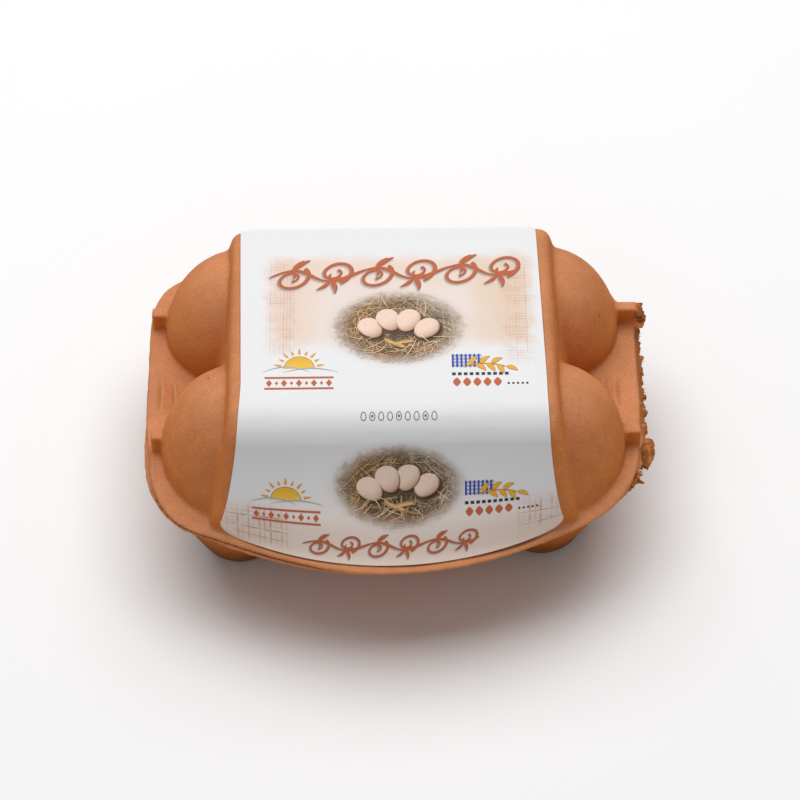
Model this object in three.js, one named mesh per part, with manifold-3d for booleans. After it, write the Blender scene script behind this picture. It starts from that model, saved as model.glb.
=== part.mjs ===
// A shut egg box of moulded pulp for two rows of three eggs, with a paper label over its lid.
// Millimetres, +Z up. X runs along the box and the front faces -Y. While the pieces are made,
// z = 0 is the floor, y = 0 lies midway between the two rows and x = 0 on the middle pair of eggs.
// The finished group is then moved so that the middle of its bounding box stands on the origin.
import * as THREE from "three";
import { mergeVertices } from "three/addons/utils/BufferGeometryUtils.js";
import Module from "manifold-3d";

const wasm = await Module();
wasm.setup();

// Driving dimensions.
const EGG_PITCH = 48.6; // from one egg to the next, both ways
const PULP = 2.2; // thickness of each flange
const GAP = 0.3; // clearance between neighbouring pieces
const TRAY_HEIGHT = 38; // floor to the top of the tray's flange
const BLOCK_HEIGHT = 36; // lid's flange to the flat top of the raised block
const DOME_X = { left: -48.6, right: 47.2 };
const DOME_Y = { front: -21.2, back: 26.3 };
const DOME_HALF_WIDTH = 25.4;
const DOME_HALF_DEPTH = 24;
const DOME_HEIGHT = 30.6;
const DOME_FRONT_STRETCH = 0.2; // how much further the front domes run out at their foot

// The bowed fronts seen from above: an arc, which the flanges carry on as two straight runs.
const FLANGE_BOW = { radius: 110, half: 46 };
const BLOCK_BOW = { radius: 100, half: 59.5, x: -2.5 };

// The two flanges. left and right are their sides at the back, and leftFront and rightFront at the
// front, where a side ends at sideLeft or sideRight. The front's straight runs end at runLeft and
// runRight. The lid sits a little askew on the tray, and the tray's right side is torn.
const LID_EDGE = {
  left: -79.5,
  leftFront: -77.8,
  right: 78.3,
  rightFront: 77.3,
  back: 50.5,
  front: -69.2,
  bowX: -3.2,
  runLeft: -62,
  runRight: 54,
  sideLeft: -24,
  sideRight: -20,
  torn: 0,
  flap: 0,
};
const TRAY_EDGE = {
  left: -79.7,
  leftFront: -79.7,
  right: 79.5,
  rightFront: 75.3,
  back: 52,
  front: -66.9,
  bowX: -4,
  runLeft: -62,
  runRight: 50,
  sideLeft: -20,
  sideRight: -31,
  torn: 0.6,
  flap: 4.4,
};
const SLANT = 13; // length over which a side goes from its front place to its back place
const FLAP_Y = -25.5; // middle of the scrap that hangs on at the torn side
const FLAP_HALF = 5.5;
const TEAR_END_Y = 35; // where the tear turns in towards the dome
const SIDE_BACK_Y = 28; // where the straight left side ends at the back
const BACK_CORNER = 19; // how far the rounded back corner reaches along X
const TEAR_AROUND_DOME = { radius: 28.4, from: 0.42, to: 0.95, endX: 60 }; // angles in radians
const TRAY_SHIFT = { x: -1.9, y: -0.9, skew: 0.9 }; // the cups' place under the domes

// The raised block's edges.
const BLOCK_SHIFT_X = -0.7;
const BACK_EDGE_Y = 38;
const FRONT_EDGE_Y = -38;
const BACK_FOOT_Y = 50;
const FRONT_FOOT_Y = -69;
const TOP_HALF_WIDTH = 51;
const FOOT_FLARE = 6.5; // extra half width at the foot
const SHOULDER = 4; // radius along the block's two side edges
const BACK_FOOT_HEIGHT = 15; // the steep foot of the block's back
const FRONT_EDGE_DROP = 6.5; // how far the rounded front edge comes down

// The lugs, the pan, the cups and the fold.
const LUG = { height: 7.5, length: 3.8 };
const LUG_PLACES = [
  { from: -78.5, to: -69, y: 28.9 },
  { from: -77.1, to: -69, y: -21 },
  { from: 69, to: 77.3, y: -20.4 },
  { from: 69, to: 81.4, y: 29.4 },
]; // the last one was torn off the neighbouring box
const PAN = { depth: 17, rimShare: 0.91, footShareX: 0.76, footShareY: 0.62 };
const CUP_FOOT_RADIUS = 8; // the flat part that stands on the table
const CUP_PROFILE = [
  [11, 1],
  [13, 3.5],
  [15.2, 9],
  [18.5, 17],
  [21.5, 27],
]; // radius and height of the cup's wall above its foot
const CUP_RIM_RADIUS = 23.6;
const FOLD = { radius: 1.9, left: -60, right: 46 };

// The label.
const LABEL_THICKNESS = 0.4;
const LABEL_GAP = 0.8;
const LABEL_HALF_WIDTH = 47;
const LABEL_FLARE = 7.5; // extra half width at the front end
const LABEL_CORNER = 7;
const LABEL_TAIL = 22; // length down the back of the block
const LABEL_CREASE = 0.62; // where it turns down at the front, as a share of the block's outline
const LABEL_END = 0.99; // and where it ends
const LABEL_SHIFT = { back: -2.4, crease: -0.4, front: -1.6 }; // the label is stuck on askew

const SEAM_Z = TRAY_HEIGHT + GAP;
const DECK_Z = SEAM_Z + PULP; // top of the lid's flange
const ROW_Y = EGG_PITCH / 2;
const { lerp, clamp } = THREE.MathUtils;
const PROFILE_STEPS = 30;
const BLOCK_STEPS = 16;
const LABEL_STEPS = 16;
const LATHE_SIDES = 32;

const pulp = new THREE.MeshStandardMaterial({ color: 0xb8764a, roughness: 0.92, metalness: 0 });
const shadedPulp = new THREE.MeshStandardMaterial({ color: 0xa96840, roughness: 0.92, metalness: 0 });
const glossyPaper = new THREE.MeshStandardMaterial({ color: 0xf3f1ee, roughness: 0.35, metalness: 0 });

// A closed three.js geometry as a manifold solid.
function solidOf(geometry) {
  const bare = geometry.clone();
  bare.deleteAttribute("normal");
  bare.deleteAttribute("uv");
  const merged = mergeVertices(bare, 1e-4);
  return new wasm.Manifold(
    new wasm.Mesh({
      numProp: 3,
      vertProperties: new Float32Array(merged.attributes.position.array),
      triVerts: new Uint32Array(merged.index.array),
    }),
  );
}

// The union of several closed geometries, as one geometry.
function fuse(geometries) {
  const mesh = geometries.map(solidOf).reduce((sum, next) => sum.add(next)).getMesh();
  const fused = new THREE.BufferGeometry();
  fused.setAttribute("position", new THREE.BufferAttribute(mesh.vertProperties, 3));
  fused.setIndex(new THREE.BufferAttribute(mesh.triVerts, 1));
  fused.computeVertexNormals();
  return fused;
}

// Moves every vertex of a geometry by a function of its place.
function reshape(geometry, move) {
  const place = geometry.attributes.position;
  const point = new THREE.Vector3();
  for (let i = 0; i < place.count; i++) {
    move(point.fromBufferAttribute(place, i));
    place.setXYZ(i, point.x, point.y, point.z);
  }
  return geometry;
}

// A closed solid through rings of points that all share one section, with its two ends capped.
function loft(rings, section) {
  const size = rings[0].length;
  const place = rings.flat().flatMap((p) => [p.x, p.y, p.z]);
  const index = [];
  for (let r = 0; r < rings.length - 1; r++) {
    for (let i = 0; i < size; i++) {
      const a = r * size + i;
      const b = r * size + ((i + 1) % size);
      index.push(a, b, a + size, b, b + size, a + size);
    }
  }
  const last = (rings.length - 1) * size;
  for (const [a, b, c] of THREE.ShapeUtils.triangulateShape(section, [])) {
    index.push(a, c, b);
    index.push(last + a, last + b, last + c);
  }
  const geometry = new THREE.BufferGeometry();
  geometry.setAttribute("position", new THREE.Float32BufferAttribute(place, 3));
  geometry.setIndex(index);
  return geometry;
}

// How far behind its foremost point an arc lies at a distance from its middle.
function arcSetback(distance, { radius, half }) {
  const reach = Math.min(Math.abs(distance), half);
  return radius - Math.sqrt(radius ** 2 - reach ** 2);
}

// The y of a flange's front at x, on its arc or on the straight run beside the arc.
function frontEdgeY(x, { front, bowX }) {
  const { radius, half } = FLANGE_BOW;
  const slope = half / Math.sqrt(radius ** 2 - half ** 2);
  const beyond = Math.max(0, Math.abs(x - bowX) - half);
  return front + arcSetback(x - bowX, FLANGE_BOW) + slope * beyond;
}

// How far the torn right side stands out at y: ragged, with one scrap that hangs on.
function tornReach(y, { torn, flap }) {
  const ragged = Math.sin(0.9 * y) + 0.7 * Math.sin(2.3 * y + 1) + 0.5 * Math.sin(0.31 * y + 2);
  const onFlap = Math.max(0, 1 - ((y - FLAP_Y) / FLAP_HALF) ** 2);
  return torn * ragged + flap * Math.sqrt(onFlap);
}

// A flange seen from above: bowed front, rounded corners, and the tear on the right and round the
// back right dome.
function flangeShape(edge) {
  const { left, leftFront, right, rightFront, back, front, bowX } = edge;
  const { runLeft, runRight, sideLeft, sideRight } = edge;
  const { radius, half } = FLANGE_BOW;
  const shape = new THREE.Shape();
  const halfAngle = Math.asin(half / radius);
  const down = -Math.PI / 2;
  shape.moveTo(runLeft, frontEdgeY(runLeft, edge));
  shape.absarc(bowX, front + radius, radius, down - halfAngle, down + halfAngle, false);
  shape.lineTo(runRight, frontEdgeY(runRight, edge));
  shape.quadraticCurveTo(rightFront, frontEdgeY(rightFront, edge), rightFront, sideRight);
  for (let y = sideRight + 2; y < TEAR_END_Y; y += 2) {
    const side = lerp(rightFront, right, clamp((y - sideRight) / SLANT, 0, 1));
    shape.lineTo(side + tornReach(y, edge), y);
  }
  const tear = TEAR_AROUND_DOME;
  shape.absarc(DOME_X.right, DOME_Y.back, tear.radius, tear.from, tear.to, false);
  shape.lineTo(tear.endX, back);
  shape.lineTo(left + BACK_CORNER, back);
  shape.quadraticCurveTo(left, back, left, SIDE_BACK_Y);
  shape.lineTo(left, sideLeft + SLANT);
  shape.lineTo(leftFront, sideLeft);
  shape.quadraticCurveTo(leftFront, frontEdgeY(leftFront, edge), runLeft, frontEdgeY(runLeft, edge));
  return shape;
}

function flange(edge, bottomZ) {
  const plate = new THREE.ExtrudeGeometry(flangeShape(edge), {
    depth: PULP,
    bevelEnabled: false,
    curveSegments: 16,
  });
  return plate.translate(0, 0, bottomZ);
}

// A half dome over an end egg, oval in plan. The front ones run out further at their front foot.
function dome(side, row) {
  const profile = [new THREE.Vector2(0, -PULP / 2)];
  const steps = 10;
  profile.push(new THREE.Vector2(DOME_HALF_WIDTH, -PULP / 2));
  for (let i = 0; i <= steps; i++) {
    const angle = (i / steps) * (Math.PI / 2);
    profile.push(new THREE.Vector2(DOME_HALF_WIDTH * Math.cos(angle), DOME_HEIGHT * Math.sin(angle)));
  }
  const geometry = new THREE.LatheGeometry(profile, LATHE_SIDES).rotateX(Math.PI / 2);
  geometry.scale(1, DOME_HALF_DEPTH / DOME_HALF_WIDTH, 1);
  if (row < 0) {
    reshape(geometry, (p) => {
      const lowness = clamp(1 - p.z / DOME_HEIGHT, 0, 1);
      if (p.y < 0) p.y *= 1 + DOME_FRONT_STRETCH * lowness ** 3;
    });
  }
  const x = side < 0 ? DOME_X.left : DOME_X.right;
  return geometry.translate(x, row < 0 ? DOME_Y.front : DOME_Y.back, DECK_Z);
}

// A small square stiffening lug that joins a dome to the flange's side.
function lug({ from, to, y }) {
  const sunk = PULP / 2;
  const box = new THREE.BoxGeometry(to - from, LUG.length, LUG.height + sunk);
  return box.translate((from + to) / 2, y, DECK_Z + (LUG.height - sunk) / 2);
}

// The block's outline seen from its side, from the back foot over the top to the front foot.
// The path's x is the box's y, and its y is the height above the flange.
function blockProfile() {
  const path = new THREE.Path();
  path.moveTo(BACK_FOOT_Y, 0);
  path.lineTo(BACK_FOOT_Y - 3, BACK_FOOT_HEIGHT);
  path.quadraticCurveTo(BACK_EDGE_Y + 5.5, BLOCK_HEIGHT, BACK_EDGE_Y - 5, BLOCK_HEIGHT);
  path.lineTo(FRONT_EDGE_Y + 7, BLOCK_HEIGHT);
  path.quadraticCurveTo(FRONT_EDGE_Y, BLOCK_HEIGHT, FRONT_EDGE_Y - 4, BLOCK_HEIGHT - FRONT_EDGE_DROP);
  path.quadraticCurveTo(FRONT_FOOT_Y + 18, 9, FRONT_FOOT_Y, 0);
  return path;
}

// The share of the front's bow that a point of the block takes: none on top, all at the foot.
function bowShare(y) {
  return clamp((FRONT_EDGE_Y - y) / (FRONT_EDGE_Y - FRONT_FOOT_Y), 0, 1);
}

// A point of the block's skin at distance x from the middle, raised along the profile's normal.
function skinPoint(path, share, x, raise) {
  const at = path.getPointAt(share);
  const along = path.getTangentAt(share);
  const y = at.x + along.y * raise;
  const bow = bowShare(y) ** 2 * arcSetback(x - BLOCK_BOW.x, BLOCK_BOW);
  return new THREE.Vector3(x, y + bow, DECK_Z + at.y - along.x * raise);
}

function blockHalfWidth(height) {
  return TOP_HALF_WIDTH + FOOT_FLARE * (1 - height / BLOCK_HEIGHT) ** 1.3;
}

// The raised block between the end domes, with rounded shoulders along both sides.
function block() {
  const path = blockProfile();
  const shares = Array.from({ length: PROFILE_STEPS + 1 }, (_, i) => i / PROFILE_STEPS);
  const across = Array.from({ length: BLOCK_STEPS + 1 }, (_, i) => (2 * i) / BLOCK_STEPS - 1);
  const stations = [
    ...[90, 60, 30].map((degrees) => ({ side: -1, degrees })),
    ...across.map((side) => ({ side, degrees: 0 })),
    ...[30, 60, 90].map((degrees) => ({ side: 1, degrees })),
  ];
  const rings = stations.map(({ side, degrees }) => {
    const turn = THREE.MathUtils.degToRad(degrees);
    const ring = shares.map((share) => {
      const half = blockHalfWidth(path.getPointAt(share).y) - SHOULDER * (1 - Math.sin(turn));
      const x = BLOCK_SHIFT_X + side * half;
      return skinPoint(path, share, x, -SHOULDER * (1 - Math.cos(turn)));
    });
    ring.forEach((p) => (p.z = Math.max(p.z, DECK_Z - PULP / 2)));
    ring[0].z = DECK_Z - PULP / 2;
    ring[ring.length - 1].z = DECK_Z - PULP / 2;
    return ring;
  });
  const section = shares.map((share) => path.getPointAt(share));
  return loft(rings, section);
}

function lid() {
  const pieces = [flange(LID_EDGE, SEAM_Z), block(), ...LUG_PLACES.map(lug)];
  for (const side of [-1, 1]) {
    for (const row of [-1, 1]) {
      pieces.push(dome(side, row));
    }
  }
  return fuse(pieces);
}

// A cup for one egg, filled, with a flat foot.
function cup(column, row) {
  const rim = TRAY_HEIGHT - PULP / 2;
  const wall = [[0, 0], [CUP_FOOT_RADIUS, 0], ...CUP_PROFILE, [CUP_RIM_RADIUS, rim], [0, rim]];
  const profile = wall.map(([radius, height]) => new THREE.Vector2(radius, height));
  const geometry = new THREE.LatheGeometry(profile, LATHE_SIDES).rotateX(Math.PI / 2);
  const y = row * ROW_Y + TRAY_SHIFT.y + column * TRAY_SHIFT.skew;
  return geometry.translate(column * EGG_PITCH + TRAY_SHIFT.x, y, 0);
}

// The shallow pan that joins the cups and runs forward under the lid's sloping front.
function pan() {
  const geometry = new THREE.ExtrudeGeometry(flangeShape({ ...TRAY_EDGE, torn: 0, flap: 0 }), {
    depth: PAN.depth,
    bevelEnabled: false,
    curveSegments: 10,
  });
  reshape(geometry, (p) => {
    const atTop = p.z > PAN.depth / 2;
    p.x *= atTop ? PAN.rimShare : PAN.footShareX;
    p.y *= atTop ? PAN.rimShare : PAN.footShareY;
  });
  return geometry.translate(0, 0, TRAY_HEIGHT - PULP / 2 - PAN.depth);
}

// The rounded fold along the back that joins tray and lid.
function hinge() {
  const { radius, left, right } = FOLD;
  const fold = new THREE.CylinderGeometry(radius, radius, right - left, 12).rotateZ(Math.PI / 2);
  return fold.translate((left + right) / 2, LID_EDGE.back + GAP + radius, SEAM_Z);
}

function tray() {
  const pieces = [flange(TRAY_EDGE, TRAY_HEIGHT - PULP), pan(), hinge()];
  for (const column of [-1, 0, 1]) {
    for (const row of [-1, 1]) {
      pieces.push(cup(column, row));
    }
  }
  return fuse(pieces);
}

// Half the label's width at a length along the profile, with its front corners rounded off.
function labelHalfWidth(travel, creaseAt, endAt) {
  const front = Math.max(0, (travel - creaseAt) / (endAt - creaseAt));
  const full = LABEL_HALF_WIDTH + LABEL_FLARE * front ** 1.8;
  const left = Math.max(0, endAt - travel);
  if (left >= LABEL_CORNER) return full;
  return full - LABEL_CORNER + Math.sqrt(LABEL_CORNER ** 2 - (LABEL_CORNER - left) ** 2);
}

// The label's middle line at a length along the profile.
function labelMiddle(travel, creaseAt, endAt) {
  const { back, crease, front } = LABEL_SHIFT;
  if (travel < creaseAt) return lerp(back, crease, travel / creaseAt);
  return lerp(crease, front, (travel - creaseAt) / (endAt - creaseAt));
}

// The paper label, from part way down the back, over the top and down the front to the flange.
function label() {
  const path = blockProfile();
  const length = path.getLength();
  const startShare = Math.round((PROFILE_STEPS * (BLOCK_HEIGHT - LABEL_TAIL)) / length) / PROFILE_STEPS;
  const creaseAt = length * LABEL_CREASE;
  const endAt = length * LABEL_END;
  const shares = [];
  for (let i = Math.round(startShare * PROFILE_STEPS); i < PROFILE_STEPS; i++) {
    shares.push(i / PROFILE_STEPS);
  }
  shares.push(LABEL_END);
  const faceAt = (side, raise) => (share) => {
    const travel = share * length;
    const x = labelMiddle(travel, creaseAt, endAt) + side * labelHalfWidth(travel, creaseAt, endAt);
    return skinPoint(path, share, x, raise);
  };
  const outer = LABEL_GAP + LABEL_THICKNESS;
  const sides = Array.from({ length: LABEL_STEPS + 1 }, (_, i) => (2 * i) / LABEL_STEPS - 1);
  const rings = sides.map((side) => [
    ...shares.map(faceAt(side, outer)),
    ...shares.map(faceAt(side, LABEL_GAP)).reverse(),
  ]);
  const section = rings[0].map((p) => new THREE.Vector2(p.y, p.z));
  return loft(rings, section);
}

function piece(name, geometry, material) {
  const mesh = new THREE.Mesh(geometry, material);
  mesh.name = name;
  return mesh;
}

const carton = new THREE.Group();
carton.add(piece("tray", tray(), shadedPulp));
carton.add(piece("lid", lid(), pulp));
carton.add(piece("label", label(), glossyPaper));

// Stands the middle of the bounding box on the origin.
const bounds = new THREE.Box3().setFromObject(carton);
const middle = bounds.getCenter(new THREE.Vector3());
carton.position.set(-middle.x, -middle.y, -bounds.min.z);

export default carton;
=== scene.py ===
"""Looks of a shut egg box of moulded pulp with a glossy paper label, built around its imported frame."""
import functools
import math
import random

import bpy
import numpy as np
from mathutils import Matrix, Vector, noise


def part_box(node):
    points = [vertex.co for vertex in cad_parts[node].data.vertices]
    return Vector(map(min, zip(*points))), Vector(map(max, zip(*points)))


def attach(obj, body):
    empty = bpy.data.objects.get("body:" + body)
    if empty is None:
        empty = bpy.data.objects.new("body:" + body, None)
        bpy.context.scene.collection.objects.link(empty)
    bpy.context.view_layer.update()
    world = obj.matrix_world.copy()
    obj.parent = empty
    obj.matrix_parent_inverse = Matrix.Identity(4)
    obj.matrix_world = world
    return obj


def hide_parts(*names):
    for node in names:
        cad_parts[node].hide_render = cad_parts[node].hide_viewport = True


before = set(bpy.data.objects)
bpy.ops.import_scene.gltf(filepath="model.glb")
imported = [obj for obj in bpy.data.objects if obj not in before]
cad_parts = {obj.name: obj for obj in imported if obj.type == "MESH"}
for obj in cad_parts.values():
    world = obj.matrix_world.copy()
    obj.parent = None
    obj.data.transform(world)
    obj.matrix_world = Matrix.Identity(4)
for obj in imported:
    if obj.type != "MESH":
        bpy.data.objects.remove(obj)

bl_info = {
    "name": "Pulp egg box",
    "version": (1, 0, 0),
    "blender": (4, 5, 0),
    "location": "3D View > Sidebar > Egg box",
    "description": "Makes a shut egg box of moulded pulp with a printed paper label, and its stage",
    "category": "Object",
}

MM = 0.001

# Pieces are modelled in metres in the box's own corner of space: z = 0 is the floor, x = 0 lies on
# the middle pair of eggs and y = 0 between the two rows. HOME takes a finished piece to its place.
LID_LOW, LID_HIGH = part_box("lid")
TRAY_LOW, TRAY_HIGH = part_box("tray")
LID_LEFT = -79.5 * MM
LID_FRONT = -69.2 * MM
HOME = Vector((LID_LOW.x - LID_LEFT, LID_LOW.y - LID_FRONT, TRAY_LOW.z))
SEAM_Z = LID_LOW.z
GAP = 0.3 * MM

# The two flanges, in millimetres. left and right are their sides at the back, and left_front and
# right_front at the front, where a side ends at side_left or side_right. The bowed front is an arc
# with straight runs to run_left and run_right, and its left or right part draws back by retreat.
# The lid sits a little askew on the tray.
LID_EDGE = {
    "left": -79.5,
    "left_front": -77.8,
    "right": 78.3,
    "right_front": 77.3,
    "back": 50.5,
    "front": -69.2,
    "retreat": (1.2, 0.0),
    "bow_x": -3.2,
    "run_left": -62,
    "run_right": 54,
    "side_left": -24,
    "side_right": -20,
    "rough": 0.10,
    "torn": 0.0,
    "flap": 0.0,
}
TRAY_EDGE = {
    "left": -79.7,
    "left_front": -79.7,
    "right": 80.1,
    "right_front": 75.3,
    "back": 52,
    "front": -68.4,
    "retreat": (0.0, 1.6),
    "bow_x": -4,
    "run_left": -62,
    "run_right": 50,
    "side_left": -20,
    "side_right": -31,
    "rough": 0.26,
    "torn": 0.8,
    "flap": 1.2,
}
LID_SEED, TRAY_SEED = 9.0, 3.0  # of the unevenness along each flange's edge
FLANGE_BOW = (110, 46)  # radius of the bowed front and half the chord of its arc
BLOCK_BOW = (100 * MM, 59.5 * MM)
BLOCK_BOW_X = -2.5 * MM
EDGE_STEP = 0.6  # from one point of a flange's outline to the next
SLANT = 13  # length over which a side goes from its front place to its back place
FLAP_Y = -25.5  # the scrap that hangs on at the torn side
FLAP_HALF = 5.5
TEAR_START_X = 78.6 * MM
TEAR_END_Y = 35
TEAR_AROUND_DOME = (28.4, 0.42, 0.95)  # radius, and from and to which angle
TEAR_STOP_X = 60  # where the back's whole edge starts again
TEAR_SEED, SEAM_SEED = 11, 23
EDGE_CRUMBS, SEAM_CRUMBS, FIBRES = 46, 30, 90
TEAR_BITES = ((0.30, 0, 1.5), (0.8, 5, 1.3), (2.0, 9, 0.7))  # rate along y, noise offset and depth
# Torn bits of wall, as sheets along a section: y, z, and from and to which x. The first hangs on
# at the tray's rim, with z over the rim, and the second ends the back right lug, with z over the deck.
HANGING_SCRAP = (
    (-18.4, 0.4, 79.6, 80.4),
    (-19.2, 0.9, 78.8, 81.5),
    (-20.6, 1.1, 78.3, 82.0),
    (-22.4, 0.8, 78.0, 82.1),
    (-24.2, 0.1, 77.8, 82.0),
    (-25.6, -0.6, 77.6, 81.4),
    (-26.8, -1.1, 77.6, 80.6),
    (-27.9, -1.5, 77.8, 79.6),
)
TORN_LUG = (
    (31.0, 5.6, 78.2, 80.2),
    (30.4, 6.9, 78.4, 80.9),
    (28.9, 7.1, 78.4, 80.5),
    (27.9, 6.6, 78.4, 81.0),
    (27.4, 5.0, 78.3, 81.7),
    (27.1, 3.5, 78.4, 81.9),
    (26.5, 2.5, 78.6, 81.6),
    (25.5, 1.9, 78.9, 81.4),
    (24.7, 1.2, 79.2, 80.6),
)
# Crumbs beside them, and along the flange's edge in front: middle (z over the rim), size and seed.
CRUMBS = (
    (78.6, -26.2, -0.9, 0.9, 1.3, 0.8, 3.0),
    (79.3, -27.6, -1.3, 0.7, 0.8, 0.6, 5.0),
    (73.2, -36.0, -1.2, 0.9, 0.9, 0.7, 11.0),
    (74.1, -34.9, -1.1, 1.0, 1.1, 0.8, 12.0),
    (75.0, -33.6, -1.0, 1.1, 1.1, 0.8, 13.0),
    (75.9, -32.3, -0.9, 1.1, 1.0, 0.8, 14.0),
    (76.7, -30.9, -0.8, 0.9, 0.9, 0.7, 15.0),
)
# Soft creases on the lid between its domes: middle, half length, bow and height.
WRINKLES = (
    (-74.4, 0.0, 8.0, -0.8, 1.1),
    (-70.2, -0.8, 8.0, -1.8, 1.4),
    (66.6, 0.8, 6.0, 1.0, 0.9),
    (70.4, -0.6, 7.0, 0.9, 0.8),
)
SIDE_BACK_Y = 28  # where a flange's left side turns into its back left corner
BACK_CORNER = 19
LIP_SAG = 1.0 * MM  # the lid thins out by this much towards its bowed front
PULP_WAVES = ((0.07, 0.26), (0.23, 0.09), (0.8, 0.03))  # rate per millimetre and height
TRAY_SKIN = (0.64 * MM, 7)  # the squares that the tray is fused from, and rounds of smoothing
LID_ROUNDS = 10  # of smoothing
MOST_TRIANGLES = 192000  # of a moulded piece
TORN_DROP = 1.2 * MM  # how far the tray's torn rim hangs
CREASE_REACH = 1.5 * MM  # a crease is made this near to the flange's top
RIM_CRISP = 0.85  # how much of the smoothing a rim and a lug are spared
SUNK = 1.1 * MM  # how far a form reaches into the flange that carries it

# Middles of the four domes, and the lugs' ends along X with their middle along Y, in millimetres.
DOMES = ((-48.6, 26.3), (-48.6, -21.2), (47.2, 26.3), (47.2, -21.2))
LUGS = ((-78.5, -69, 28.9), (-77.1, -69, -21.0), (69, 77.3, -20.4), (69, 79.0, 29.4))
DOME_FOOT_FLARE = 0.2
LUG_LENGTH = 3.8 * MM
LUG_HEIGHT = 7.5 * MM

# The raised block's edges, in millimetres along Y.
BACK_EDGE = 38
FRONT_EDGE = -38
BACK_FOOT = 50
FRONT_FOOT = -69
TOP_HALF_WIDTH = 51 * MM
BLOCK_SHIFT_X = -0.7 * MM
FOOT_FLARE = 6.5 * MM
SHOULDER = 4 * MM
BLOCK_GRID = (150, 170)
BLOCK_SWELL = 0.35 * MM  # the pulp block fills the room under the label
BLOCK_FOOT_DIP = 1.3 * MM  # and makes room for it where it meets the flange in front
# From the middle of the block's grid to its side: the top, the shoulder's turn and the wall.
BLOCK_TOP_SHARE, BLOCK_TURN_SHARE, BLOCK_WALL_SHARE = 0.74, 0.08, 0.18

# Cup wall: radius and height in millimetres. The tray is shifted and a little askew under the lid.
CUP_WALL = ((8, 0), (11, 1), (13, 3.5), (15.2, 9), (18.5, 17), (21.5, 27), (23.6, 36.9))
CUP_SHIFT = (-1.9 * MM, -0.9 * MM)
CUP_SKEW = 0.9 * MM
PAN_DEPTH = 17 * MM
PAN_TOP, PAN_FLOOR = (0.91, 0.91), (0.76, 0.62)  # the pan's shares of the flange's outline
FOLD_RADIUS = 1.9 * MM
FOLD_LEFT = -60 * MM
FOLD_RIGHT = 46 * MM

# The label, along the block's outline from its back foot to its front foot.
LABEL_GRID = (150, 220)
LABEL_TOP = 1.2 * MM  # height of its face over the block's outline
LABEL_SIDE_DIP = 0.28 * MM
LABEL_END_DIP = 0.5 * MM
LABEL_START = 16.1 * MM
LABEL_CREASE = 99.8 * MM
LABEL_END = 159.7 * MM
LABEL_FLARE = 7.5 * MM
LABEL_CORNER = 7 * MM
LABEL_SHIFT = (-2.4 * MM, -0.4 * MM, -1.6 * MM)  # it is stuck on askew: back, crease and front
INK_LIFT = 0.03 * MM
INK_DEPTH = 0.012 * MM
LAYER = 0.018 * MM  # from one printed layer to the next
STRIP = 0.8 * MM  # printed shapes are split this finely, to follow the curved sheet

# The label's soft printed fields, in millimetres: from and to across, from and to along, and blur.
FIELDS = {
    "peach": ((-39, 42), (50.5, 86), 3.2),
    "middle": ((-25, 29), (60, 92), 9),
    "golden": ((24, 42), (50.5, 84), 4),
    "left cloth": ((-39.5, -31), (51, 88), 2.4),
    "right cloth": ((34, 42.5), (50, 92), 2.4),
    "low left cloth": ((-52, -34), (143, 157), 2.5),
    "low right cloth": ((38, 52), (141, 154), 2.5),
}

# The two printed nests: middle (across, along), radii and count of straws.
NESTS = (
    {"middle": (1.2 * MM, 78.6 * MM), "radii": (21.0 * MM, 14.8 * MM), "straws": 430},
    {"middle": (0.6 * MM, 134.2 * MM), "radii": (20.6 * MM, 14.2 * MM), "straws": 400},
)

# Fixed tints of the print.
HAY_LEFT, HAY_RIGHT, HAY_FRONT = (0.62, 0.37, 0.16), (0.61, 0.47, 0.33), (0.58, 0.32, 0.16)
HAY_PALE = (0.80, 0.62, 0.40)
NEST_RIM = (0.50, 0.35, 0.24)
EGG_SHADE, EGG_FOOT = (0.48, 0.235, 0.135), (0.05, 0.03, 0.018)
EGG_GLOOM = ((0.03, 0.02, 0.012), (0.16, 0.095, 0.05))  # its shadow's middle and rim
WHEAT = (0.62, 0.38, 0.16)
HILL_GREY = (0.42, 0.43, 0.45)
PATCH_PAPER = (0.70, 0.72, 0.80)
OUTLINE_GREY = (0.16, 0.16, 0.17)

# Where the ornaments lie on the label, in millimetres. Vines have a start, an end, a swing and a
# scale, suns a middle and patches a corner and a scale.
VINES = (
    ((-39, 57.8), (39, 55.0), 2.4, 1.0),
    ((-29, 154.2), (25, 152.8), 1.3, 0.62),
)
SUNS = ((-29.5, 94.5), (-34, 139.5))
PATCHES = (((17.5, 89.5), 0.95), ((21, 133), 0.92))
EGG_ROW = (1.0, 112)
# The printed eggs of each nest: place in the nest's unit circle, turn and size.
NEST_EGGS = (
    (
        (-0.41, 0.02, 0.85, 0.98),
        (-0.14, -0.19, 1.15, 1.02),
        (0.15, -0.17, 2.0, 1.04),
        (0.42, 0.05, 2.35, 1.0),
    ),
    (
        (0.42, 0.00, 2.3, 0.98),
        (0.14, -0.19, 1.95, 1.02),
        (-0.15, -0.16, 1.2, 1.04),
        (-0.42, 0.07, 0.8, 1.0),
    ),
)
PAPER_CREASE = math.radians(40)
TORN_CREASE = math.radians(50)


def smoothstep(low, high, value):
    """Value's eased share of the way from low to high."""
    share = np.clip((np.asarray(value, float) - low) / (high - low), 0, 1)  # low may be the larger
    return share * share * (3 - 2 * share)


def pairs(first, second):
    """Two rows of numbers side by side, as columns."""
    return np.column_stack([first, second])


def noise_at(x, y, z):
    return noise.noise(Vector((x, y, z)))


# Sizes, colours and lights that a user would change.


def number(name, description, default, unit="NONE"):
    return bpy.props.FloatProperty(name=name, description=description, default=default, unit=unit)


def length(name, description, default):
    return number(name, description, default, "LENGTH")


def colour(name, description, default):
    return bpy.props.FloatVectorProperty(
        name=name, description=description, default=default, subtype="COLOR", size=3, min=0, max=1
    )


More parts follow.
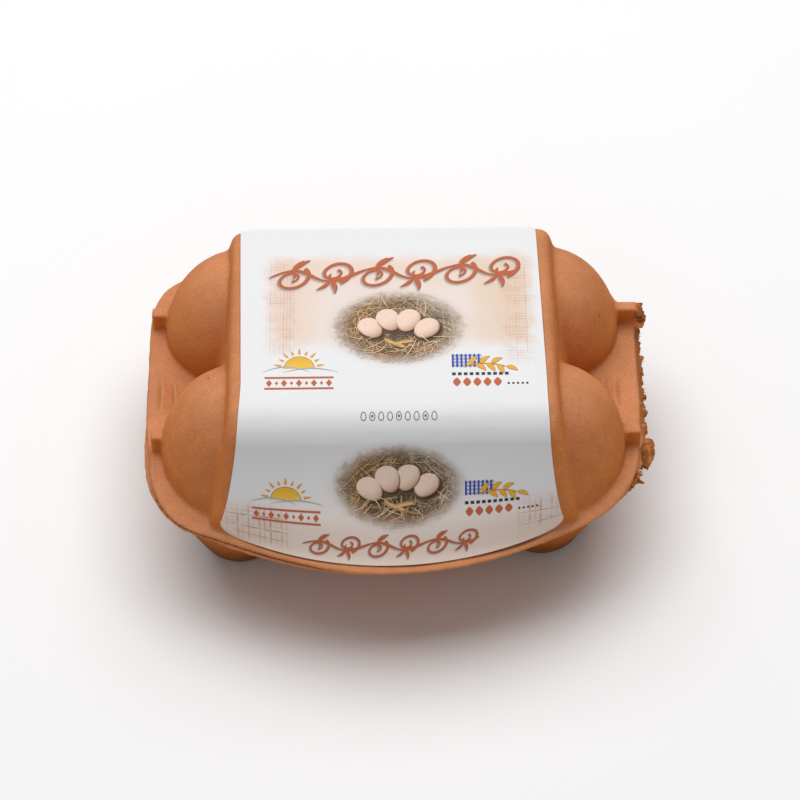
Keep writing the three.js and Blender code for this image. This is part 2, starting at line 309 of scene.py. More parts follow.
class EggBoxSizes(bpy.types.PropertyGroup):
    egg_pitch: length("Egg pitch", "From one egg to the next, both ways", 48.6 * MM)
    flange: length("Flange", "Thickness of each flange", 2.2 * MM)
    dome_width: length("Dome width", "Half the width of an end dome", 25.4 * MM)
    dome_depth: length("Dome depth", "Half the depth of an end dome", 24 * MM)
    dome_height: length("Dome height", "Height of an end dome over the flange", 30.6 * MM)
    block_height: length("Block height", "Height of the raised block over the flange", 36 * MM)
    grain: length("Grain", "Edge of the small squares that the pulp is moulded from", 0.58 * MM)
    label_half_width: length("Label half width", "Half the width of the paper label", 47 * MM)
    paper: length("Paper", "Thickness of the paper label", 0.26 * MM)


class EggBoxPulp(bpy.types.PropertyGroup):
    # Painted light and shade: pale, body and deep are blended by how steeply the pulp faces. It reads
    # paler where it faces up, and deeper and more saturated on slopes and steep sides. deep also darkens
    # the creases and the tray, and it is the torn fibres' darker felt.
    pale: colour("Pale", "Colour of the pulp where it faces up", (0.60, 0.245, 0.11))
    body: colour("Body", "Colour of the pulp on a slope", (0.615, 0.214, 0.073))
    deep: colour("Deep", "Colour of the pulp on a steep side", (0.60, 0.18, 0.033))
    torn: colour("Torn", "Colour of the torn fibres", (0.60, 0.275, 0.135))
    wire_pitch: length("Wire pitch", "Pitch of the mould screen's imprint", 0.95 * MM)


class EggBoxPrint(bpy.types.PropertyGroup):
    paper: colour("Paper", "White of the label", (0.80, 0.795, 0.805))
    peach: colour("Peach", "Soft field behind the print", (0.80, 0.56, 0.41))
    linen: colour("Linen", "Woven lines at the sides of the field", (0.42, 0.22, 0.135))
    nest: colour("Nest", "Ground of the straw nest", (0.085, 0.055, 0.032))
    egg: colour("Egg", "Lit side of a printed egg", (0.86, 0.65, 0.53))
    terracotta: colour("Terracotta", "Vine and lozenges", (0.52, 0.135, 0.06))
    ochre: colour("Ochre", "Sun and leaf", (0.80, 0.42, 0.045))
    blue: colour("Blue", "Checked patch", (0.055, 0.08, 0.33))
    ink: colour("Ink", "Small dark marks", (0.05, 0.045, 0.05))


class EggBoxStage(bpy.types.PropertyGroup):
    look_at: bpy.props.FloatVectorProperty(
        name="Look at",
        description="Point of the box in the middle of the picture",
        default=(1.592 * MM, -1.66 * MM, 39.218 * MM),
        subtype="XYZ",
        unit="LENGTH",
        size=3,
    )
    azimuth: number("Azimuth", "Turn to the right of straight ahead", math.radians(0.389), "ROTATION")
    elevation: number("Elevation", "Angle above the floor", math.radians(52.23), "ROTATION")
    roll: number("Roll", "Tilt of the camera", math.radians(-0.344), "ROTATION")
    distance: length("Distance", "From the camera to the point that it looks at", 1.001)
    lens: number("Lens", "Focal length on a 36 mm sensor", 140.4, "CAMERA")
    floor: colour("Floor", "Colour of the plain floor", (0.93, 0.93, 0.93))
    top_power: number("Top light", "Power of the large light above and behind", 17.4, "POWER")
    front_power: number("Front light", "Power of the soft light in front", 0.8, "POWER")
    sky: number("Sky", "Brightness of the even light all round", 0.222)


# Modelling helpers.


def only(piece):
    """Leaves one piece selected and active."""
    bpy.ops.object.select_all(action="DESELECT")
    piece.select_set(True)
    bpy.context.view_layer.objects.active = piece
    return piece


def of_vertices(piece, what):
    flat = np.empty(len(piece.data.vertices) * 3)
    piece.data.vertices.foreach_get(what, flat)
    return flat.reshape(-1, 3)


def places(piece):
    return of_vertices(piece, "co")


def facing(piece):
    return of_vertices(piece, "normal")


def put(piece, points):
    piece.data.vertices.foreach_set("co", np.asarray(points, float).ravel())
    piece.data.update()
    return piece


# Steps for edit() that several pieces take.
SELECT_ALL = (bpy.ops.mesh.select_all, {"action": "SELECT"})
FACE_OUTWARDS = (bpy.ops.mesh.normals_make_consistent, {"inside": False})


def grown(name, adder, **how):
    """A new primitive with only itself selected."""
    bpy.ops.object.select_all(action="DESELECT")
    adder(**how)
    piece = bpy.context.object
    piece.name = name
    return piece


def grid_piece(name, columns, rows):
    """A square grid with an edge of 1, to be drawn over a form."""
    spacing = {"x_subdivisions": columns, "y_subdivisions": rows, "size": 1}
    return grown(name, bpy.ops.mesh.primitive_grid_add, **spacing)


def linked(name, points, edges=(), faces=()):
    """A piece made of the given points, edges and faces."""
    mesh = bpy.data.meshes.new(name)
    mesh.from_pydata(points, edges, faces)
    piece = bpy.data.objects.new(name, mesh)
    bpy.context.collection.objects.link(piece)
    return piece


def marked(piece, name, kind, key, values):
    """Writes a value for each point of a piece, for its material to read."""
    layer = piece.data.attributes.new(name, kind, "POINT")
    layer.data.foreach_set(key, np.asarray(values).ravel())
    return piece


def edit(piece, *steps):
    """Runs edit-mode steps on all of a piece."""
    only(piece)
    bpy.ops.object.mode_set(mode="EDIT")
    bpy.ops.mesh.select_all(action="SELECT")
    for step, how in steps:
        step(**how)
    bpy.ops.object.mode_set(mode="OBJECT")
    return piece


def apply(piece, kind, **settings):
    """Adds a modifier and applies it."""
    only(piece)
    modifier = piece.modifiers.new(kind.title(), kind)
    for key, value in settings.items():
        setattr(modifier, key, value)
    bpy.ops.object.modifier_apply(modifier=modifier.name)
    return piece


def joined(name, pieces):
    """Makes one piece of several."""
    bpy.ops.object.select_all(action="DESELECT")
    for piece in pieces:
        piece.select_set(True)
    bpy.context.view_layer.objects.active = pieces[0]
    bpy.ops.object.join()
    pieces[0].name = name
    pieces[0].data.name = name
    return pieces[0]


def hand_over(piece, material, slot, *nodes, smooth_angle=None):
    """Takes a finished piece home, gives it its material and ties it to the frame."""
    only(piece)
    piece.location = HOME
    bpy.ops.object.transform_apply(location=True, rotation=True, scale=True)
    piece.data.materials.clear()
    piece.data.materials.append(material)
    if smooth_angle is None:
        bpy.ops.object.shade_smooth()
    else:
        bpy.ops.object.shade_smooth_by_angle(angle=smooth_angle)
    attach(piece, "root")
    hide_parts(*nodes)


# Outlines of the flanges.


def arc_setback(distance, bow):
    """How far behind its foremost point an arc lies, at a distance from its middle."""
    radius, half = bow
    reach = np.minimum(np.abs(distance), half)
    return radius - np.sqrt(radius**2 - reach**2)


def front_edge_y(x, edge):
    """The y of a flange's front at x, on its arc or on the straight run beside it."""
    radius, half = FLANGE_BOW
    away = abs(x - edge["bow_x"])
    slope = half / math.sqrt(radius**2 - half**2)
    left, right = edge["retreat"]
    retreat = left * float(smoothstep(-10, -34, x) * smoothstep(-68, -50, x))
    retreat += right * float(smoothstep(4, 40, x))
    bowed = edge["front"] + float(arc_setback(away, FLANGE_BOW))
    return bowed + slope * max(0.0, away - half) + retreat


def torn_reach(y, edge, seed):
    """How far the torn side stands out at y, both in millimetres."""
    bites = sum(depth * noise_at(y * rate, seed, offset) for rate, offset, depth in TEAR_BITES)
    on_flap = max(0.0, 1 - ((y - FLAP_Y) / FLAP_HALF) ** 2)
    return edge["torn"] * bites + edge["flap"] * math.sqrt(on_flap)


def arc(centre, radius, start, end, steps):
    """Points of a circle from one angle to another."""
    angles = np.linspace(start, end, steps)
    return [(centre[0] + radius * math.cos(a), centre[1] + radius * math.sin(a)) for a in angles]


def bend(start, handle, end, steps):
    """A quadratic curve without its first point."""
    found = []
    for t in np.linspace(0, 1, steps)[1:]:
        a, b, c = (1 - t) ** 2, 2 * t * (1 - t), t * t
        found.append(tuple(a * start[i] + b * handle[i] + c * end[i] for i in (0, 1)))
    return found


def outwards(outline):
    """The direction out of an anticlockwise outline at each of its points."""
    along = np.roll(outline, -1, axis=0) - np.roll(outline, 1, axis=0)
    along /= np.linalg.norm(along, axis=1)[:, None]
    return pairs(along[:, 1], -along[:, 0])


def torn_side_x(y, edge, seed):
    """The x of a flange's right side at y, both in millimetres."""
    share = min(1.0, max(0.0, (y - edge["side_right"]) / SLANT))
    x = edge["right_front"] + (edge["right"] - edge["right_front"]) * share
    return x + torn_reach(y, edge, seed)


def flange_outline(edge, seed=0.0):
    """The flange seen from above, anticlockwise, in metres, with a slightly uneven edge."""
    left, left_front, right_front = edge["left"], edge["left_front"], edge["right_front"]
    front = np.linspace(edge["run_left"], edge["run_right"], 120)
    outline = [(x, front_edge_y(x, edge)) for x in front]
    start, side = outline[0], edge["side_right"]
    corner = (right_front, front_edge_y(right_front, edge))
    outline += bend(outline[-1], corner, (right_front, side), 20)
    outline += [(torn_side_x(y, edge, seed), y) for y in np.arange(side + 0.5, TEAR_END_Y, 0.5).tolist()]
    outline += arc(DOMES[2], *TEAR_AROUND_DOME, 16)
    outline += [(TEAR_STOP_X, edge["back"]), (left + BACK_CORNER, edge["back"])]
    outline += bend(outline[-1], (left, edge["back"]), (left, SIDE_BACK_Y), 20)
    outline += [(left, edge["side_left"] + SLANT), (left_front, edge["side_left"])]
    outline += bend(outline[-1], (left_front, front_edge_y(left_front, edge)), start, 20)
    corners = np.array(outline)
    runs = np.r_[0, np.cumsum(np.hypot(*np.diff(corners, axis=0).T))]
    travel = np.linspace(0, runs[-1], int(runs[-1] / EDGE_STEP))[:-1]
    even = pairs(*(np.interp(travel, runs, column) for column in corners.T))
    rough = [
        noise_at(x * 0.35, y * 0.35, seed) + 0.8 * noise_at(x * 1.1, y * 1.1, seed) for x, y in even
    ]
    return (even + outwards(even) * np.array(rough)[:, None] * edge["rough"]) * MM


def drawn_in(piece, outline, height, insets):
    """Moves the rim at one height inwards from the outline, by a length for each of its points."""
    goal = outline - outwards(outline) * np.asarray(insets)[:, None]
    points = places(piece)
    for i in np.nonzero(np.abs(points[:, 2] - height) < 1e-6)[0]:
        nearest = np.argmin(np.hypot(*(outline - points[i, :2]).T))
        points[i, :2] = goal[nearest]
    return put(piece, points)


def frontness(outline):
    """1 where an outline faces the front, 0 at its sides and back."""
    return smoothstep(0.80, 0.985, -outwards(outline)[:, 1])


def plate(name, outline, bottom, top):
    """A flat solid over an outline: a filled circle is drawn out to the outline and extruded."""
    circle = {"vertices": len(outline), "radius": 1, "fill_type": "NGON"}
    piece = grown(name, bpy.ops.mesh.primitive_circle_add, **circle)
    put(piece, np.column_stack([outline, np.full(len(outline), bottom)]))
    rise = {"TRANSFORM_OT_translate": {"value": (0, 0, top - bottom)}}
    return edit(piece, (bpy.ops.mesh.extrude_region_move, rise), SELECT_ALL, FACE_OUTWARDS)


# The raised block and the label's skin over it.


def block_outline(height):
    """The block seen from its side: lengths along the outline, its points and its directions."""
    points = [(BACK_FOOT, 0), (BACK_FOOT - 3, 15)]
    points += bend((BACK_FOOT - 3, 15), (BACK_EDGE + 5.5, height), (BACK_EDGE - 5, height), 200)
    points += [(FRONT_EDGE + 7, height)]
    points += bend((FRONT_EDGE + 7, height), (FRONT_EDGE, height), (FRONT_EDGE - 4, height - 6.5), 100)
    points += bend((FRONT_EDGE - 4, height - 6.5), (FRONT_FOOT + 18, 9), (FRONT_FOOT, 0), 200)
    corners = np.array(points) * MM
    steps = np.hypot(*np.diff(corners, axis=0).T)
    runs = np.r_[0, np.cumsum(steps)]
    travel = np.linspace(0, runs[-1], 1600)
    along = np.column_stack([np.interp(travel, runs, corners[:, i]) for i in (0, 1)])
    direction = np.gradient(along, travel, axis=0)
    direction /= np.linalg.norm(direction, axis=1)[:, None]
    return travel, along, direction


class Skin:
    """Finds points over the block's outline."""

    def __init__(self, sizes):
        self.height = sizes.block_height
        self.deck = SEAM_Z + sizes.flange
        self.label_half = sizes.label_half_width
        self.travel, self.along, self.direction = block_outline(sizes.block_height / MM)

    def point(self, x, travel, rise):
        """A point at x, a length along the outline, and a height over it. All may be arrays."""
        y = np.interp(travel, self.travel, self.along[:, 0])
        height = np.interp(travel, self.travel, self.along[:, 1])
        dy = np.interp(travel, self.travel, self.direction[:, 0])
        dz = np.interp(travel, self.travel, self.direction[:, 1])
        y = y + dz * rise
        share = np.clip((FRONT_EDGE * MM - y) / ((FRONT_EDGE - FRONT_FOOT) * MM), 0, 1)
        sag = 1.5 * LIP_SAG * smoothstep(-57 * MM, -67 * MM, y)
        sag = sag * (1 - 0.5 * smoothstep(18 * MM, 44 * MM, x))
        y = y + share**2 * arc_setback(x - BLOCK_BOW_X, BLOCK_BOW) + 0.9 * sag
        return np.column_stack([x, y, self.deck + height - dy * rise - sag])

    def outline_height(self, travel):
        return np.interp(travel, self.travel, self.along[:, 1])

    def block_half_width(self, height):
        return TOP_HALF_WIDTH + FOOT_FLARE * np.clip(1 - height / self.height, 0, 1) ** 1.3

    def label_reach(self, travel):
        """The label's middle and half width at a length along the outline."""
        on_front = np.clip((travel - LABEL_CREASE) / (LABEL_END - LABEL_CREASE), 0, 1)
        half = self.label_half + LABEL_FLARE * on_front**1.8
        corner = np.clip(LABEL_CORNER - (LABEL_END - travel), 0, LABEL_CORNER)
        half = half - LABEL_CORNER + np.sqrt(LABEL_CORNER**2 - corner**2)
        back, crease, front = LABEL_SHIFT
        on_top = np.clip(travel / LABEL_CREASE, 0, 1)
        at_top, at_front = back + (crease - back) * on_top, crease + (front - crease) * on_front
        return np.where(travel < LABEL_CREASE, at_top, at_front), half

    def label_face(self, x, travel, lift=0.0):
        """The label's outer face. Its sides dip to the pulp and it ripples a little at the crease."""
        middle, half = self.label_reach(travel)
        inside = half - np.abs(x - middle)
        dip = LABEL_SIDE_DIP * (1 - smoothstep(0, 4 * MM, inside))
        dip = dip + LABEL_END_DIP * smoothstep(-6 * MM, 0, travel - LABEL_END)
        near_crease = np.exp(-(((travel - 116 * MM) / (8 * MM)) ** 2))
        wave = np.sin(x / (6.5 * MM) + 0.7) + 0.6 * np.sin(x / (2.9 * MM) + travel / (9 * MM))
        sway = np.sin(x / (17 * MM) + travel / (23 * MM) + 1.1)
        rise = LABEL_TOP - dip + (0.05 * wave * near_crease + 0.05 * sway) * MM + lift
        return self.point(x, travel, rise)


# Pulp forms.


def make_block(skin):
    """The raised block: a grid drawn over its outline, with shoulders and walls, closed below."""
    piece = grid_piece("Block", *BLOCK_GRID)
    grid = places(piece)
    across, along = grid[:, 0] * 2, 0.5 - grid[:, 1]
    travel = along * skin.travel[-1]
    side, reach = np.sign(across), np.abs(across)
    floor = skin.deck - SUNK
    turn = np.clip((reach - BLOCK_TOP_SHARE) / BLOCK_TURN_SHARE, 0, 1) * math.pi / 2
    level = skin.outline_height(travel)
    half = skin.block_half_width(level) - SHOULDER * (1 - np.sin(turn))
    flat = (skin.block_half_width(level) - SHOULDER) * reach / BLOCK_TOP_SHARE
    half = np.where(reach < BLOCK_TOP_SHARE, flat, half)
    rise = BLOCK_SWELL - SHOULDER * (1 - np.cos(turn))
    rise = rise - BLOCK_FOOT_DIP * smoothstep(149 * MM, 157 * MM, travel)
    points = skin.point(BLOCK_SHIFT_X + side * half, travel, rise)
    wall = np.clip((reach - BLOCK_TOP_SHARE - BLOCK_TURN_SHARE) / BLOCK_WALL_SHARE, 0, 1)
    points[:, 2] = np.maximum(points[:, 2], floor)
    points[:, 2] += (floor - points[:, 2]) * wall
    wall_half = skin.block_half_width(points[:, 2] - skin.deck)
    walled = BLOCK_SHIFT_X + side * np.maximum(wall_half, half)
    points[:, 0] = np.where(wall > 0, walled, points[:, 0])
    ends = (along < 1e-6) | (along > 1 - 1e-6)
    points[ends, 2] = floor
    put(piece, points)
    return edit(
        piece,
        (bpy.ops.mesh.select_all, {"action": "DESELECT"}),
        (bpy.ops.mesh.select_non_manifold, {}),
        (bpy.ops.mesh.edge_face_add, {}),
        SELECT_ALL,
        FACE_OUTWARDS,
    )


def make_dome(sizes, x, y):
    """A half dome over an end egg. The front ones run out further at their foot."""
    piece = grown("Dome", bpy.ops.mesh.primitive_uv_sphere_add, segments=128, ring_count=96, radius=1)
    stretch = (sizes.dome_width, sizes.dome_depth, sizes.dome_height)
    cut = {"plane_co": (0, 0, -SUNK), "plane_no": (0, 0, 1), "use_fill": True, "clear_inner": True}
    edit(piece, (bpy.ops.transform.resize, {"value": stretch}), (bpy.ops.mesh.bisect, cut))
    points = places(piece)
    points[:, 2] = np.maximum(points[:, 2], -SUNK)
    if y < 0:
        lowness = np.clip(1 - points[:, 2] / sizes.dome_height, 0, 1)
        points[:, 1] *= np.where(points[:, 1] < 0, 1 + DOME_FOOT_FLARE * lowness**3, 1)
    return put(piece, points + (x * MM, y * MM, SEAM_Z + sizes.flange))


def make_lug(sizes, start, end, y):
    """A small square stiffening lug with its edges taken off."""
    size = ((end - start) * MM, LUG_LENGTH, LUG_HEIGHT + SUNK)
    piece = grown("Lug", bpy.ops.mesh.primitive_cube_add, size=1)
    edit(
        piece,
        (bpy.ops.transform.resize, {"value": size}),
        (bpy.ops.mesh.bevel, {"offset": 0.35 * MM, "segments": 2, "affect": "EDGES"}),
    )
    middle = ((start + end) / 2 * MM, y * MM, SEAM_Z + sizes.flange + (LUG_HEIGHT - SUNK) / 2)
    return put(piece, places(piece) + middle)


def make_lump(name, middle, size, seed, roughness, detail):
    """A torn scrap of pulp: a ball pulled out of shape."""
    piece = grown(name, bpy.ops.mesh.primitive_ico_sphere_add, subdivisions=detail, radius=1)
    points = places(piece)
    for i, point in enumerate(points):
        pull = noise.noise(Vector(point) * 1.7 + Vector((seed, 0, 0)))
        pull += 0.5 * noise.noise(Vector(point) * 4.1 + Vector((0, seed, 0)))
        points[i] = point * (1 + roughness * pull)
    return put(piece, points * size + middle)


def thinned_lip(points, deck):
    """Lets the lid's flange thin out towards its bowed front."""
    edge = np.interp(points[:, 0], *front_edge_table())
    share = LIP_SAG * smoothstep(10 * MM, 1.5 * MM, points[:, 1] - edge)
    share *= np.clip((points[:, 2] - SEAM_Z) / (deck - SEAM_Z), 0, 1)
    return points - np.outer(share, (0, 0, 1))


def front_edge_table():
    across = np.linspace(-80, 80, 161)
    return across * MM, np.array([front_edge_y(x, LID_EDGE) for x in across]) * MM


def creases(points):
    """The soft creases between the domes on the lid's flange: their height, and the painted shade that
    darkens their troughs.
    """
    height, hollow_shade = np.zeros(len(points)), np.zeros(len(points))
    for x, y, half, bow, tall in WRINKLES:
        along = np.clip((points[:, 1] - y * MM) / (half * MM), -1, 1)
        across = (points[:, 0] - (x + bow * along**2) * MM) / (0.8 * MM)
        fade = (1 - along**2) ** 0.8
        trough = np.exp(-((across - 1.7 * np.sign(bow)) ** 2)) * fade
        height += tall * MM * (np.exp(-(across**2)) * fade - 0.6 * trough)
        hollow_shade += trough
    return height, hollow_shade


def make_shell(name, section, base, bulge, seed):
    """A torn bit of wall: a sheet drawn along a section, with a ragged end and some thickness."""
    piece = grid_piece(name, 12, 34)
    grid = places(piece)[:, :2] + 0.5
    along = grid[:, 1] * (len(section) - 1)
    y, z, root, end = (np.interp(along, range(len(section)), column) for column in zip(*section))
    ragged = [0.5 * noise_at(a * 1.9, seed, 0) + 0.3 * noise_at(a * 5, seed, 3) for a in along]
    x = root + (end + np.array(ragged) - root) * grid[:, 0]
    z = z + bulge * np.sin(np.pi * grid[:, 0] * 0.9)
    points = np.column_stack([x, y, z]) * MM + (0, 0, base)
    for point in points:
        point += np.array(noise.noise_vector(Vector(point) * 700 + Vector((seed, 0, 0)))) * 0.22 * MM
    put(piece, points)
    apply(piece, "SOLIDIFY", thickness=0.75 * MM, offset=0)
    apply(piece, "SUBSURF", levels=1, render_levels=1)
    return edit(piece, FACE_OUTWARDS)


def at_rim(points, rim, over):
    """1 at the heights of a flange's rim, fading out below it and, more quickly, over it."""
    low, high = rim
    height = points[:, 2]
    return smoothstep(low - 1 * MM, low, height) * smoothstep(high + over, high, height)


def roughened(piece, torn_from, rim):
    """Gives moulded pulp its unevenness, and more of it where it is torn. It also marks how much painted
    shade each point takes: the flank mark on steep faces, lessened at the rim, and a mark in the
    creases' troughs and on the torn side.
    """
    points, normals = places(piece), facing(piece)
    torn = smoothstep(torn_from, torn_from + 2 * MM, points[:, 0])
    moved = np.empty(len(points))
    for i, place in enumerate(points):
        spot = Vector(place) * 1000
        moved[i] = sum(height * noise.noise(spot * rate) for rate, height in PULP_WAVES) * MM
        if torn[i] > 0:
            moved[i] += noise.noise(spot * 1.1 + Vector((7, 0, 0))) * 0.55 * torn[i] * MM
    put(piece, points + normals * moved[:, None])
    apply(piece, "DECIMATE", ratio=min(1.0, MOST_TRIANGLES / (2 * len(piece.data.polygons))))
    points = places(piece)
    torn = smoothstep(torn_from, torn_from + 2 * MM, points[:, 0])
    # Painted light and shade: the flank mark darkens steep faces, but less on the rim's sides, so that
    # they read lit.
    flank = np.clip(1 - facing(piece)[:, 2], 0, 1)
    flank *= 1 - 0.7 * at_rim(points, rim, 0.8 * MM)
    marked(piece, "flank", "FLOAT", "value", flank)
    # Painted shade: in the creases' troughs, and on the tray's torn side beside the lid's edge.
    hollow_shade = creases(points)[1] * (np.abs(points[:, 2] - rim[1]) < CREASE_REACH)
    hollow_shade = np.maximum(hollow_shade, 1.8 * torn * (points[:, 2] < SEAM_Z))
    return marked(piece, "hollow_shade", "FLOAT", "value", hollow_shade)


def moulded(name, forms, voxel, rounds, torn_from, rim, lugs=()):
    """Fuses pulp forms into one skin, softens its creases and makes it uneven. The rim stays crisp."""
    piece = joined(name, forms)
    apply(piece, "REMESH", mode="VOXEL", voxel_size=voxel)
    group = only(piece).vertex_groups.new(name="Moulded")
    points = places(piece)
    keep = 1 - 0.75 * smoothstep(torn_from, torn_from + 1.5 * MM, points[:, 0])
    keep *= 1 - RIM_CRISP * at_rim(points, rim, 0.6 * MM)
    for start, _, y in lugs:
        near = smoothstep(3.2 * MM, 2.2 * MM, np.abs(points[:, 1] - y * MM))
        near = near * smoothstep(72 * MM, 73.5 * MM, np.abs(points[:, 0])) * (points[:, 0] * start > 0)
        keep *= 1 - RIM_CRISP * near
    for i, weight in enumerate(keep):
        group.add([i], float(weight), "REPLACE")
    apply(piece, "SMOOTH", factor=0.5, iterations=rounds, vertex_group="Moulded")
    piece.vertex_groups.clear()
    if lugs:
        creased = places(piece)
        level = np.abs(creased[:, 2] - rim[1]) < CREASE_REACH
        level = level * smoothstep(0.6, 0.9, facing(piece)[:, 2])
        creased[:, 2] += creases(creased)[0] * level
        put(piece, thinned_lip(creased, rim[1]))
    return roughened(piece, torn_from, rim)


def make_cup(sizes, column, row):
    """A cup: its wall is drawn as a line of points and spun round."""
    at = np.linspace(0, 1, 40) * (len(CUP_WALL) - 1)
    wall = np.column_stack([np.interp(at, range(len(CUP_WALL)), column) for column in zip(*CUP_WALL)])
    profile = np.array([(0, 0), *wall, (0, CUP_WALL[-1][1])]) * MM
    edges = [(i, i + 1) for i in range(len(profile) - 1)]
    piece = linked("Cup", [(r, 0, z) for r, z in profile], edges)
    turned = {"steps": 72, "angle": 2 * math.pi, "center": (0, 0, 0), "axis": (0, 0, 1)}
    edit(
        piece,
        (bpy.ops.mesh.spin, turned),
        SELECT_ALL,
        (bpy.ops.mesh.remove_doubles, {"threshold": 0.02 * MM}),
        FACE_OUTWARDS,
    )
    x = column * sizes.egg_pitch + CUP_SHIFT[0]
    y = row * sizes.egg_pitch / 2 + CUP_SHIFT[1] + column * CUP_SKEW
    return put(piece, places(piece) + (x, y, 0))


def make_pan():
    """The shallow pan that joins the cups."""
    whole = {**TRAY_EDGE, "torn": 0.0, "flap": 0.0, "rough": 0.0}
    top = SEAM_Z - GAP - SUNK
    piece = plate("Pan", flange_outline(whole), top - PAN_DEPTH, top)
    points = places(piece)
    at_top = points[:, 2] > top - PAN_DEPTH / 2
    points[:, :2] *= np.where(at_top[:, None], PAN_TOP, PAN_FLOOR)
    return put(piece, points)


# Materials.


class Finish:
    """One node material and the few kinds of node that it is built from."""

    def __init__(self, name):
        self.material = bpy.data.materials.new(name)
        self.material.use_nodes = True
        self.tree = self.material.node_tree
        self.shader = self.tree.nodes["Principled BSDF"]

    def node(self, kind, sockets=None, **settings):
        node = self.tree.nodes.new(kind)
        for key, value in settings.items():
            setattr(node, key, value)
        for key, value in (sockets or {}).items():
            if isinstance(value, bpy.types.NodeSocket):
                self.tree.links.new(value, node.inputs[key])
            else:
                node.inputs[key].default_value = value
        return node

    def place(self):
        return self.node("ShaderNodeTexCoord").outputs["Object"]

    def attribute(self, name, output="Vector"):
        return self.node("ShaderNodeAttribute", attribute_name=name).outputs[output]

    def turned(self, vector, scale=(1, 1, 1), rotation=(0, 0, 0), location=(0, 0, 0)):
        sockets = {"Vector": vector, "Scale": scale, "Rotation": rotation, "Location": location}
        return self.node("ShaderNodeMapping", sockets).outputs["Vector"]

    def noise(self, vector, scale, detail=2.0, roughness=0.5):
        sockets = {"Vector": vector, "Scale": scale, "Detail": detail, "Roughness": roughness}
        return self.node("ShaderNodeTexNoise", sockets).outputs["Fac"]

    def cells(self, vector, scale):
        node = self.node("ShaderNodeTexVoronoi", {"Vector": vector, "Scale": scale})
        return node.outputs["Distance"], node.outputs["Color"]

    def maths(self, operation, a, b=0.0, c=0.0):
        return self.node("ShaderNodeMath", {0: a, 1: b, 2: c}, operation=operation).outputs[0]

    def times(self, *values):
        return functools.reduce(lambda a, b: self.maths("MULTIPLY", a, b), values)

    def plus(self, *values):
        return functools.reduce(lambda a, b: self.maths("ADD", a, b), values)

    def between(self, value, low, high, to_low=0.0, to_high=1.0):
        """Value's share of the way from low to high, eased, as a number from to_low to to_high."""
        sockets = {0: value, 1: low, 2: high, 3: to_low, 4: to_high}
        made = self.node("ShaderNodeMapRange", sockets, interpolation_type="SMOOTHSTEP")
        return made.outputs["Result"]

    def mix(self, share, a, b):
        a, b = ((*c, 1) if not isinstance(c, bpy.types.NodeSocket) else c for c in (a, b))
        return self.node("ShaderNodeMix", {0: share, 6: a, 7: b}, data_type="RGBA").outputs[2]

    def scaled(self, colour, factor):
        """A colour socket made lighter or darker."""
        sockets = {0: colour, "Scale": factor}
        return self.node("ShaderNodeVectorMath", sockets, operation="SCALE").outputs[0]

    def axes(self, vector):
        node = self.node("ShaderNodeSeparateXYZ", {0: vector})
        return node.outputs["X"], node.outputs["Y"], node.outputs["Z"]

    def bump(self, height, distance, strength):
        sockets = {"Height": height, "Distance": distance, "Strength": strength}
        node = self.node("ShaderNodeBump", sockets)
        self.tree.links.new(node.outputs["Normal"], self.shader.inputs["Normal"])

    def colour(self, socket):
        self.tree.links.new(socket, self.shader.inputs["Base Color"])

    def constants(self, **sockets):
        for key, value in sockets.items():
            self.shader.inputs[key.replace("_", " ")].default_value = value


